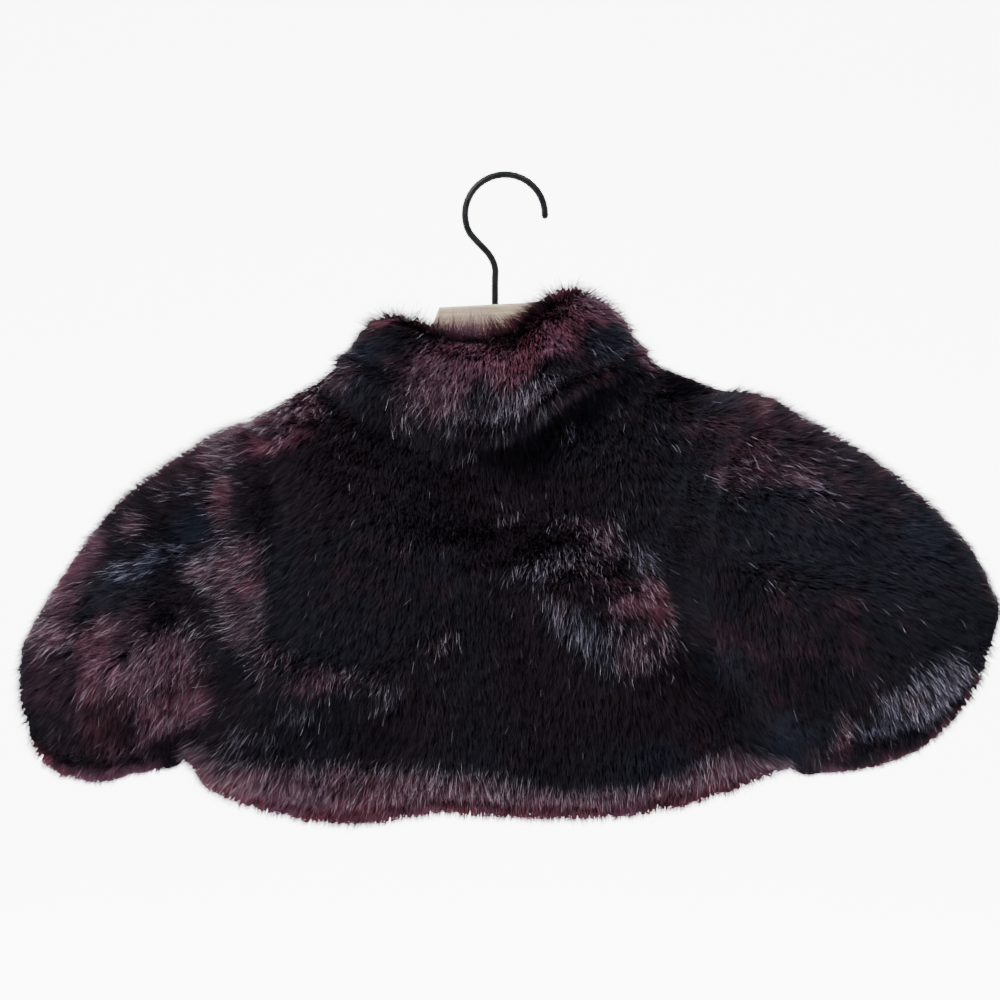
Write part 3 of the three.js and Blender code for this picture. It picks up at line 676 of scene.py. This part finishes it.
def hem_sheen(points, above, mottled_glint):
    """The painted sheen of the band over the hem: its burgundy and its painted glints, by the height above
    it.
    """
    places, depths = zip(*HEM_SHEEN_BAND)
    deep = np.interp(points[:, 0] / MM, places, depths) * MM
    band = smooth_step(-above, -1.1 * deep, -0.75 * deep)
    pale = band * smooth_step(above, 0.1 * deep, 0.35 * deep)
    red = band * (0.75 - 0.2 * smooth_step(above, 0.25 * deep, 0.7 * deep))
    return red, pale * (0.7 + 0.8 * mottled_glint)


def dye_and_painted_light(node, points, normals, edges, seam, tips):
    """How burgundy (partly painted sheen), how thick with painted glints and how navy the pile at each
    vertex is, from 0 to 1.
    """
    spots = {name: mottle(points, *sizes) for name, sizes in MOTTLES.items()}
    red, frost, blue = patched(tips)

    # The sides and the front are mottled all over instead.
    behind = smooth_step(relaxed(normals[:, 1], edges, 4), 0.1, 0.6)
    if node == "collar":
        behind = smooth_step(points[:, 1], -2 * MM, 8 * MM)
    front_red = smooth_step(0.6 * spots["red"] + 0.4 * spots["fine_red"], 0.44, 0.78)
    front_painted_glint = smooth_step(0.6 * spots["frost"] + 0.4 * spots["fine_frost"], 0.44, 0.74)
    front_blue = smooth_step(spots["blue"], 0.48, 0.74)
    red += behind * (front_red * FRONT_RED - red)
    frost += behind * (front_painted_glint * (0.35 + 0.5 * front_red) - frost)
    blue += behind * (front_blue * FRONT_BLUE - blue)

    # Ridges get a painted highlight: lighter burgundy and painted glints on their tops, partly the parted
    # pile showing more colour. The outline gets a painted burgundy sheen.
    open_cloth = smooth_step(seam, 5 * MM, 16 * MM) * (node != "collar")
    lit_ridge = smooth_step(swelling(points, normals, edges), 0.2 * MM, 1.6 * MM) * open_cloth
    red = np.maximum(red, lit_ridge * RIDGE_HIGHLIGHT_RED * (0.5 + spots["red"]))
    frost = np.maximum(frost, lit_ridge * RIDGE_PAINTED_GLINT * (0.3 + spots["frost"]))
    outline = smooth_step(1 - np.abs(normals[:, 1]), 0.1, 0.5) * smooth_step(seam, 14 * MM, 26 * MM)
    red = np.maximum(red, outline * OUTLINE_SHEEN_RED * (node != "collar"))

    above = points[:, 2] - edge_height(points, -1)
    # Painted sheen over the hem: a burgundy band with painted glints.
    if node in BODY:
        hem_sheen_red, hem_painted_glint = hem_sheen(points, above, spots["frost"])
        red, frost = np.maximum(red, hem_sheen_red), np.maximum(frost, hem_painted_glint)
    # Painted sheen round each cuff's end: burgundy with a few painted glints.
    elif node in SLEEVES:
        edge = smooth_step(-above, -CUFF_EDGE, 0) * smooth_step(seam, 8 * MM, 22 * MM)
        red, frost = np.maximum(red, CUFF_SHEEN_RED * edge), np.maximum(frost, CUFF_PAINTED_GLINT * edge)

    # Both break up into small tufts.
    tufts = spots["tufts"] - 0.5
    red = smooth_step(red * (0.75 + 0.5 * spots["red"]) + 0.35 * tufts, 0.04, 0.85)
    frost = smooth_step(frost + 0.9 * tufts, 0.1, 0.9) * smooth_step(frost, 0.0, 0.3)
    return red, np.clip(frost, 0, 1), np.clip(blue, 0, 1)


# ---------------------------------------------------------------- pile


class Pile(Maths):
    """Arithmetic in the tree that grows the pile, with the values that its roots and strands carry."""

    def __init__(self, tree):
        super().__init__(tree)
        self.inputs = tree.nodes.new("NodeGroupInput").outputs
        self.place = tree.nodes.new("GeometryNodeInputPosition").outputs[0]

    def named(self, name, kind="FLOAT"):
        node = add(self.tree, "GeometryNodeInputNamedAttribute", {"Name": name}, data_type=kind)
        return node.outputs["Attribute"]

    def store(self, geometry, name, value, kind="FLOAT", domain="POINT"):
        node = self.tree.nodes.new("GeometryNodeStoreNamedAttribute")
        node.data_type, node.domain = kind, domain
        set_sockets(node, {"Geometry": geometry, "Name": name, "Value": value})
        return node.outputs["Geometry"]

    def chance(self, low, high, shift, kind="FLOAT"):
        """A random value for each root. The shift keeps it apart from the others."""
        seed = self.do("ADD", self.inputs["Seed"], float(shift))
        node = self.tree.nodes.new("FunctionNodeRandomValue")
        node.data_type = kind
        first = 0 if kind == "FLOAT_VECTOR" else 2
        set_sockets(node, {first: low, first + 1: high, "Seed": seed})
        return node.outputs[0 if kind == "FLOAT_VECTOR" else 1]

    def less(self, share, amount):
        """What is left of 1 after a share of some amount is taken off."""
        return self.do("SUBTRACT", 1.0, self.do("MULTIPLY", amount, share))


def sown_roots(m):
    """The roots on the backing, each with what its strand needs to know."""
    density = m.do("MULTIPLY", m.inputs["Strands"], m.named(m.inputs["Sown by"]))
    roots = add(m.tree, "GeometryNodeDistributePointsOnFaces",
                {"Mesh": m.inputs["Geometry"], "Density": density, "Seed": m.inputs["Seed"]})
    points = m.store(roots.outputs["Points"], "up", roots.outputs["Normal"], "FLOAT_VECTOR")
    points = m.store(points, "root", m.place, "FLOAT_VECTOR")
    points = m.store(points, "long", m.chance(*LENGTHS, 1))
    points = m.store(points, "luck", m.chance(0.0, 1.0, 2))
    points = m.store(points, "roll", m.chance((-1, -1, -1), (1, 1, 1), 3, "FLOAT_VECTOR"), "FLOAT_VECTOR")
    return m.store(points, "strand", m.tree.nodes.new("GeometryNodeInputIndex").outputs[0])


def blade(m):
    """One strand: two edges that meet at the tip, marked from 0 at the root to 1 at the tip."""
    grid = add(m.tree, "GeometryNodeMeshGrid",
               {"Size X": 1.0, "Size Y": 1.0, "Vertices X": 2, "Vertices Y": m.inputs["Rows"]})
    split = add(m.tree, "ShaderNodeSeparateXYZ", {0: m.place})
    along = m.do("ADD", split.outputs["Y"], 0.5)
    below_tip = m.do("SUBTRACT", 1.0, m.do("GREATER_THAN", along, 0.9))
    side = m.do("MULTIPLY", m.do("MULTIPLY", split.outputs["X"], 2.0), below_tip)
    shape = m.store(grid.outputs["Mesh"], "along", along)
    shape = m.store(shape, "side", side)
    pinched = add(m.tree, "ShaderNodeCombineXYZ", {"X": side, "Y": along}).outputs[0]
    shape = add(m.tree, "GeometryNodeSetPosition", {"Geometry": shape, "Position": pinched}).outputs[0]
    return add(m.tree, "GeometryNodeMergeByDistance", {"Geometry": shape, "Distance": 0.001}).outputs[0]


def laid(m):
    """Where each corner of a strand goes: along the comb, with soft swirls, strays and small tufts."""
    root, up = m.named("root", "FLOAT_VECTOR"), m.named("up", "FLOAT_VECTOR")
    t, roll, erect = m.named("along"), m.named("roll", "FLOAT_VECTOR"), m.named("erect")
    bend = m.do("MULTIPLY", t, t)

    # The way it lies.
    swirl = add(m.tree, "ShaderNodeTexNoise", {"Vector": root, "Scale": SWIRLS, "Detail": 2.0})
    wave = m.scale(m.vec("SUBTRACT", swirl.outputs["Color"], (0.5, 0.5, 0.5)), SWIRL_STRENGTH)
    lay = m.sum(m.named("comb", "FLOAT_VECTOR"), wave, m.scale(roll, m.inputs["Stray"]))
    lay = m.unit(m.clear(lay, up))
    leaving = m.do("MAXIMUM", m.vec("DOT_PRODUCT", lay, up), 0.0)
    tufts = add(m.tree, "ShaderNodeTexVoronoi", {"Vector": root, "Scale": TUFTS, "Randomness": 1.0})
    to_tuft = m.flat(m.vec("SUBTRACT", tufts.outputs["Position"], root), up)
    gathered = m.scale(to_tuft, m.do("MULTIPLY", bend, m.inputs["Clump"]))

    # How far it runs and rises.
    reach = m.do("MULTIPLY", m.do("MULTIPLY", m.inputs["Length"], m.named("grown")), m.named("long"))
    eased = m.do("ADD", m.do("MULTIPLY", t, EVEN_RUN), m.do("MULTIPLY", bend, 1 - EVEN_RUN))
    run = m.do("MULTIPLY", reach, eased)
    run = m.do("MULTIPLY", run, m.less(ERECT_RUN_LESS, erect))
    run = m.do("MULTIPLY", run, m.less(LEAVING_RUN_LESS, leaving))
    rising = m.do("MULTIPLY", m.named("height"), m.do("MULTIPLY", m.inputs["Rise"], m.named("long")))
    arch = m.do("SUBTRACT", m.do("MULTIPLY", t, 1 + ARCH), m.do("MULTIPLY", bend, ARCH))
    lift = m.do("MULTIPLY", rising, arch)
    stand = m.do("MULTIPLY", m.do("MULTIPLY", erect, ERECT_RISE), m.do("MULTIPLY", reach, t))
    spine = m.sum(root, m.scale(lay, run), m.scale(up, m.do("ADD", lift, stand)), gathered)

    # Its two edges, each strand turned its own way.
    across = m.unit(m.vec("CROSS_PRODUCT", m.sum(lay, m.scale(up, 0.4)), m.sum(up, m.scale(roll, 0.9))))
    half = m.do("MULTIPLY", m.do("MULTIPLY", m.inputs["Width"], 0.5),
                m.do("MULTIPLY", m.named("side"), m.less(TAPER, t)))
    half = m.do("MULTIPLY", half, m.less(EDGE_FINER, m.do("MAXIMUM", leaving, erect)))
    return m.sum(spine, m.scale(across, half))


def map_cell(m, points):
    """A small cell of the finish map for each strand, from its root up to its tip."""
    count = add(m.tree, "GeometryNodeAttributeDomainSize", {"Geometry": points}, component="POINTCLOUD")
    rows = m.do("CEIL", m.do("SQRT", count.outputs["Point Count"]))
    strand = m.named("strand")
    column = m.do("MODULO", strand, rows)
    row = m.do("FLOOR", m.do("DIVIDE", strand, rows))
    u = m.do("ADD", column, m.do("ADD", 0.5, m.do("MULTIPLY", m.named("side"), 0.35)))
    v = m.do("ADD", row, m.do("ADD", 0.1, m.do("MULTIPLY", m.named("along"), 0.8)))
    cell = add(m.tree, "ShaderNodeCombineXYZ", {"X": m.do("DIVIDE", u, rows), "Y": m.do("DIVIDE", v, rows)})
    return cell.outputs[0]


def pile_tree():
    """A node tree that grows strands from a backing, each a tapering blade."""
    tree = bpy.data.node_groups.new("pile", "GeometryNodeTree")
    face = tree.interface
    face.new_socket("Geometry", in_out="INPUT", socket_type="NodeSocketGeometry")
    for name in ("Strands", "Length", "Width", "Rise", "Stray", "Clump"):
        face.new_socket(name, in_out="INPUT", socket_type="NodeSocketFloat")
    for name in ("Rows", "Seed"):
        face.new_socket(name, in_out="INPUT", socket_type="NodeSocketInt")
    face.new_socket("Sown by", in_out="INPUT", socket_type="NodeSocketString")
    face.new_socket("Material", in_out="INPUT", socket_type="NodeSocketMaterial")
    face.new_socket("Geometry", in_out="OUTPUT", socket_type="NodeSocketGeometry")
    m = Pile(tree)
    points = sown_roots(m)
    copies = add(tree, "GeometryNodeInstanceOnPoints", {"Points": points, "Instance": blade(m)})
    strands = add(tree, "GeometryNodeRealizeInstances", {"Geometry": copies.outputs[0]}).outputs[0]
    strands = add(tree, "GeometryNodeSetPosition", {"Geometry": strands, "Position": laid(m)}).outputs[0]
    strands = m.store(strands, "OFBake", map_cell(m, points), "FLOAT2", "CORNER")
    for spent in SPENT:
        strands = add(tree, "GeometryNodeRemoveAttribute", {"Geometry": strands, "Name": spent}).outputs[0]
    smooth = add(tree, "GeometryNodeSetShadeSmooth", {"Geometry": strands}).outputs[0]
    finished = add(tree, "GeometryNodeSetMaterial", {"Geometry": smooth, "Material": m.inputs["Material"]})
    add(tree, "NodeGroupOutput", {"Geometry": finished.outputs[0]})
    return tree


def grow(tree, backing, name, coat, material):
    """One coat of pile on a backing, as a plain mesh."""
    host = bpy.data.objects.new(name + "_host", backing.data)
    bpy.context.scene.collection.objects.link(host)
    modifier = host.modifiers.new("pile", "NODES")
    modifier.node_group = tree
    for item in tree.interface.items_tree:
        setting = item.name.lower().replace(" ", "_")
        if item.in_out == "INPUT" and setting in coat:
            modifier[item.identifier] = coat[setting]
        if item.name == "Material":
            modifier[item.identifier] = material
    bpy.context.view_layer.update()
    evaluated = host.evaluated_get(bpy.context.evaluated_depsgraph_get())
    mesh = bpy.data.meshes.new_from_object(evaluated)
    mesh.name = name
    bpy.data.objects.remove(host)
    obj = bpy.data.objects.new(name, mesh)
    bpy.context.scene.collection.objects.link(obj)
    mesh.materials.clear()
    mesh.materials.append(material)
    return obj


# ---------------------------------------------------------------- finishes


DARK_ROOT = (0.003, 0.002, 0.003, 1.0)  # of the undercoat and the guard hairs
HAIR_ROOT = (0.006, 0.004, 0.006, 1.0)  # of the hairs with painted glints on their tips


def new_material(name):
    """A material, its node tree and its shader."""
    material = bpy.data.materials.new(name)
    material.use_nodes = True
    tree = material.node_tree
    return material, tree, tree.nodes["Principled BSDF"]


def ramp(tree, factor, stops):
    """A colour that runs through the stops as the factor goes from 0 to 1."""
    node = tree.nodes.new("ShaderNodeValToRGB")
    elements = node.color_ramp.elements
    while len(elements) < len(stops):
        elements.new(0.5)
    for element, (place, colour) in zip(elements, stops):
        element.position = place
        element.color = (*colour, 1.0)
    tree.links.new(factor, node.inputs["Fac"])
    return node.outputs["Color"]


def mix(tree, factor, a, b):
    """The first colour where the factor is 0, and the second where it is 1."""
    node = tree.nodes.new("ShaderNodeMix")
    node.data_type = "RGBA"
    set_sockets(node, {0: factor, 6: a, 7: b})
    return node.outputs[2]


def read(tree, attribute, output="Fac"):
    """A value that was left on the mesh by its making."""
    node = tree.nodes.new("ShaderNodeAttribute")
    node.attribute_name = attribute
    return node.outputs[output]


def pile_finish(name, specular):
    """Fur in near-black, navy and two shades of wine, dark at the root; the wine is partly painted sheen
    and highlight.
    """
    material, tree, shader = new_material(name)
    m = Maths(tree)
    root, along = read(tree, "root", "Vector"), read(tree, "along")
    broad = add(tree, "ShaderNodeTexNoise", {"Vector": root, "Scale": 14.0, "Detail": 2.0}).outputs["Fac"]
    dark = ramp(tree, broad, [(0.38, (0.0185, 0.0142, 0.0190)), (0.62, (0.0140, 0.0142, 0.0208))])
    navy = ramp(tree, broad, [(0.35, (0.0145, 0.0185, 0.030)), (0.65, (0.022, 0.024, 0.034))])
    black = mix(tree, read(tree, "blue"), dark, navy)
    fine = add(tree, "ShaderNodeTexNoise", {"Vector": root, "Scale": 110.0, "Detail": 2.0}).outputs["Fac"]
    uneven = m.do("ADD", read(tree, "red"), m.do("MULTIPLY", m.do("SUBTRACT", fine, 0.5), 0.8))
    redness = m.do("MINIMUM", m.do("MAXIMUM", uneven, 0.0), 1.0)
    claret = ramp(tree, redness, [(0.0, (0.018, 0.013, 0.017)), (0.5, (0.047, 0.0220, 0.030)),
                                  (1.0, (0.165, 0.055, 0.080))])
    lilac = ramp(tree, redness, [(0.0, (0.018, 0.013, 0.017)), (0.5, (0.043, 0.0250, 0.036)),
                                 (1.0, (0.145, 0.066, 0.104))])
    shade = add(tree, "ShaderNodeTexNoise", {"Vector": root, "Scale": 30.0, "Detail": 1.0}).outputs["Fac"]
    lean = add(tree, "ShaderNodeMapRange", {"Value": shade, "From Min": 0.4, "From Max": 0.6}).outputs[0]
    wine = mix(tree, lean, claret, lilac)
    body = mix(tree, m.do("MINIMUM", m.do("MULTIPLY", redness, 2.0), 1.0), black, wine)
    colour = mix(tree, m.do("POWER", along, 0.7), DARK_ROOT, body)
    tree.links.new(colour, shader.inputs["Base Color"])
    shader.inputs["Roughness"].default_value = 0.38
    shader.inputs["Specular IOR Level"].default_value = specular
    return material


def glint_hair_finish():
    """Fine hairs whose tips are painted pale lilac, rose or icy grey as glints, and glossy enough to glint
    as well.
    """
    material, tree, shader = new_material("fur_frosted_tip")
    m = Maths(tree)
    root, along, luck = read(tree, "root", "Vector"), read(tree, "along"), read(tree, "luck")
    tone = add(tree, "ShaderNodeTexNoise", {"Vector": root, "Scale": 40.0, "Detail": 2.0}).outputs["Fac"]
    cool = ramp(tree, luck, [(0.0, (0.04, 0.038, 0.052)), (0.6, (0.110, 0.104, 0.145)),
                             (1.0, (0.46, 0.44, 0.56))])
    icy = ramp(tree, luck, [(0.0, (0.035, 0.038, 0.06)), (0.6, (0.088, 0.092, 0.150)),
                            (1.0, (0.36, 0.37, 0.58))])
    cool = mix(tree, read(tree, "blue"), cool, icy)
    warm = ramp(tree, luck, [(0.0, (0.055, 0.032, 0.043)), (0.6, (0.15, 0.092, 0.125)),
                             (1.0, (0.52, 0.37, 0.46))])
    warmth = m.do("ADD", m.do("MULTIPLY", read(tree, "red"), 1.4), m.do("SUBTRACT", tone, 0.5))
    redder = m.do("MINIMUM", m.do("MAXIMUM", warmth, 0.0), 1.0)
    tip = mix(tree, redder, cool, warm)
    colour = mix(tree, m.do("POWER", along, 2.2), HAIR_ROOT, tip)
    tree.links.new(colour, shader.inputs["Base Color"])
    shader.inputs["Roughness"].default_value = 0.3
    shader.inputs["Specular IOR Level"].default_value = 0.4
    return material


def bumped(tree, height, deep, shader):
    """Relief in a finish, with its height in metres."""
    relief = add(tree, "ShaderNodeBump", {"Height": height, "Distance": deep, "Strength": 1.0})
    tree.links.new(relief.outputs["Normal"], shader.inputs["Normal"])


def backing_finish():
    """The dark knitted back of the pile fabric, with its rows of small loops."""
    material, tree, shader = new_material("knitted_backing")
    m = Maths(tree)
    place = tree.nodes.new("ShaderNodeTexCoord").outputs["Object"]
    wander = add(tree, "ShaderNodeTexNoise", {"Vector": place, "Scale": 40.0}).outputs["Color"]
    place = m.sum(place, m.scale(wander, 0.004))
    wales = add(tree, "ShaderNodeTexWave", {"Vector": place, "Scale": 170.0, "Distortion": 1.5},
                wave_type="BANDS", bands_direction="X")
    courses = add(tree, "ShaderNodeTexWave", {"Vector": place, "Scale": 120.0, "Distortion": 1.5},
                  wave_type="BANDS", bands_direction="Z")
    loops = m.do("MULTIPLY", wales.outputs["Fac"], courses.outputs["Fac"])
    speckles = add(tree, "ShaderNodeTexNoise", {"Vector": place, "Scale": 700.0, "Detail": 2.0})
    speckle = speckles.outputs["Fac"]
    lit = m.do("MULTIPLY", speckle, m.do("ADD", 0.6, m.do("MULTIPLY", loops, 0.8)))
    colour = ramp(tree, lit, [(0.25, (0.004, 0.003, 0.004)), (0.7, (0.022, 0.014, 0.018))])
    tree.links.new(colour, shader.inputs["Base Color"])
    shader.inputs["Roughness"].default_value = 0.9
    shader.inputs["Specular IOR Level"].default_value = 0.05
    bumped(tree, loops, 0.0003, shader)
    return material


def wood_finish():
    """Pale wood: long fine grain along the board, darker pores and a dull varnish."""
    material, tree, shader = new_material("pale_wood")
    m = Maths(tree)
    place = tree.nodes.new("ShaderNodeTexCoord").outputs["Object"]
    drawn = add(tree, "ShaderNodeMapping", {"Vector": place, "Scale": (9.0, 60.0, 130.0)}).outputs[0]
    grain = add(tree, "ShaderNodeTexNoise", {"Vector": drawn, "Scale": 4.0, "Detail": 4.0}).outputs["Fac"]
    colour = ramp(tree, grain, [(0.3, (0.23, 0.17, 0.115)), (0.55, (0.31, 0.245, 0.175)),
                                (0.8, (0.37, 0.30, 0.22))])
    fine = add(tree, "ShaderNodeMapping", {"Vector": place, "Scale": (30.0, 400.0, 900.0)}).outputs[0]
    pores = add(tree, "ShaderNodeTexNoise", {"Vector": fine, "Scale": 2.0, "Detail": 2.0}).outputs["Fac"]
    open_pores = ramp(tree, pores, [(0.3, (0.72, 0.66, 0.6)), (0.5, (1.0, 1.0, 1.0))])
    tint = tree.nodes.new("ShaderNodeMix")
    tint.data_type, tint.blend_type = "RGBA", "MULTIPLY"
    set_sockets(tint, {0: 1.0, 6: colour, 7: open_pores})
    tree.links.new(tint.outputs[2], shader.inputs["Base Color"])
    shader.inputs["Roughness"].default_value = 0.55
    shader.inputs["Specular IOR Level"].default_value = 0.3
    bumped(tree, m.do("MULTIPLY", pores, grain), 0.0002, shader)
    return material


def wire_finish():
    """Steel wire under black paint, rubbed a little paler in places."""
    material, tree, shader = new_material("black_wire")
    place = tree.nodes.new("ShaderNodeTexCoord").outputs["Object"]
    wear = add(tree, "ShaderNodeTexNoise", {"Vector": place, "Scale": 300.0, "Detail": 3.0}).outputs["Fac"]
    colour = ramp(tree, wear, [(0.4, (0.003, 0.003, 0.0035)), (0.75, (0.009, 0.009, 0.010))])
    tree.links.new(colour, shader.inputs["Base Color"])
    shader.inputs["Roughness"].default_value = 0.42
    shader.inputs["Specular IOR Level"].default_value = 0.05
    orange_peel = add(tree, "ShaderNodeTexNoise", {"Vector": place, "Scale": 1400.0}).outputs["Fac"]
    bumped(tree, orange_peel, 0.00006, shader)
    return material


def repaint(node, material):
    """Gives one of the hanger's own meshes its finish."""
    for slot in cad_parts[node].material_slots:
        slot.material = material


# ---------------------------------------------------------------- studio


def make_camera():
    """A camera level with the garment, square to its back."""
    data = bpy.data.cameras.new("camera")
    data.sensor_width = 36.0
    data.lens = data.sensor_width * VIEW_DISTANCE / VIEW_WIDTH
    data.clip_start, data.clip_end = 0.05, 20.0
    camera = bpy.data.objects.new("camera", data)
    camera.location = VIEW_CENTRE + Vector((0, -VIEW_DISTANCE, 0))
    camera.rotation_euler = (math.pi / 2, 0, 0)
    bpy.context.scene.collection.objects.link(camera)
    bpy.context.scene.camera = camera


def area_light(name, place, size, watts, colour):
    """A round soft light that faces the garment."""
    data = bpy.data.lights.new(name, "AREA")
    data.shape, data.size, data.energy, data.color = "DISK", size, watts, colour
    light = bpy.data.objects.new(name, data)
    light.location = place
    light.rotation_euler = (VIEW_CENTRE - Vector(place)).to_track_quat("-Z", "Y").to_euler()
    bpy.context.scene.collection.objects.link(light)


def paper_finish(floor_end, wall_start):
    """White paper that is lit from behind where it stands up as a backdrop."""
    material, tree, shader = new_material("pale_paper")
    m = Maths(tree)
    place = tree.nodes.new("ShaderNodeTexCoord").outputs["Object"]
    split = add(tree, "ShaderNodeSeparateXYZ", {0: place})
    glow = add(tree, "ShaderNodeMapRange", {"Value": split.outputs["Y"], "From Min": floor_end,
                                            "From Max": wall_start, "To Min": 0.0, "To Max": 7.0})
    fibre = add(tree, "ShaderNodeTexNoise", {"Vector": place, "Scale": 60.0}).outputs["Fac"]
    tone = ramp(tree, fibre, [(0.3, (0.88, 0.88, 0.88)), (0.7, (0.92, 0.92, 0.92))])
    tree.links.new(tone, shader.inputs["Base Color"])
    tree.links.new(glow.outputs[0], shader.inputs["Emission Strength"])
    shader.inputs["Emission Color"].default_value = (1, 1, 1, 1)
    shader.inputs["Roughness"].default_value = 0.9
    return material


def make_studio():
    """A pale floor that sweeps up into a backdrop, with soft light from the upper left."""
    floor_z, wall_y, sweep, steps = -0.75, 1.6, 0.6, 12
    near_end, wall_top, half_width = -2.6, 2.6, 4.0
    profile = [(near_end, floor_z)]
    for k in range(steps + 1):
        turn = k / steps * math.pi / 2
        profile.append((wall_y - sweep + sweep * math.sin(turn), floor_z + sweep - sweep * math.cos(turn)))
    profile.append((wall_y, wall_top))
    vertices = [(x, y, z) for y, z in profile for x in (-half_width, half_width)]
    faces = [(2 * k, 2 * k + 1, 2 * k + 3, 2 * k + 2) for k in range(len(profile) - 1)]
    mesh = bpy.data.meshes.new("backdrop")
    mesh.from_pydata(vertices, [], faces)
    mesh.polygons.foreach_set("use_smooth", [True] * len(faces))
    paper = bpy.data.objects.new("backdrop", mesh)
    bpy.context.scene.collection.objects.link(paper)
    mesh.materials.append(paper_finish(floor_end=0.75, wall_start=1.1))
    world = bpy.data.worlds.new("studio")
    world.use_nodes = True
    set_sockets(world.node_tree.nodes["Background"], {"Color": (1, 1, 1, 1), "Strength": 0.42})
    bpy.context.scene.world = world
    area_light("key", (-0.7, -0.75, 0.7), 0.5, 55, (1.0, 0.98, 0.97))
    area_light("top", (0.4, -0.25, 1.0), 0.5, 25, (0.95, 0.97, 1.0))
    area_light("fill", (0.9, -1.2, -0.1), 0.9, 10, (0.95, 0.97, 1.0))


# ---------------------------------------------------------------- the object


def dress():
    """Puts backing and pile in the place of each cloth solid, and finishes the hanger."""
    garment = panel_tree(PANELS)
    tree = pile_tree()
    knit = backing_finish()
    undercoat = pile_finish("fur_undercoat", 0.0)
    guard = pile_finish("fur_guard_hair", 0.04)
    frosted = glint_hair_finish()
    for node in PANELS:
        backing = make_backing(node, garment)
        backing.data.materials.append(knit)
        coats = [grow(tree, backing, node + "_undercoat", UNDERCOAT, undercoat),
                 grow(tree, backing, node + "_guard_hair", GUARD, guard),
                 grow(tree, backing, node + "_frosted_hair", GLINT_COAT, frosted)]
        for piece in [backing] + coats:
            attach(piece, "root")
        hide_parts(node)
    repaint("hanger_board", wood_finish())
    repaint("hanger_hook", wire_finish())


make_camera()
make_studio()
dress()
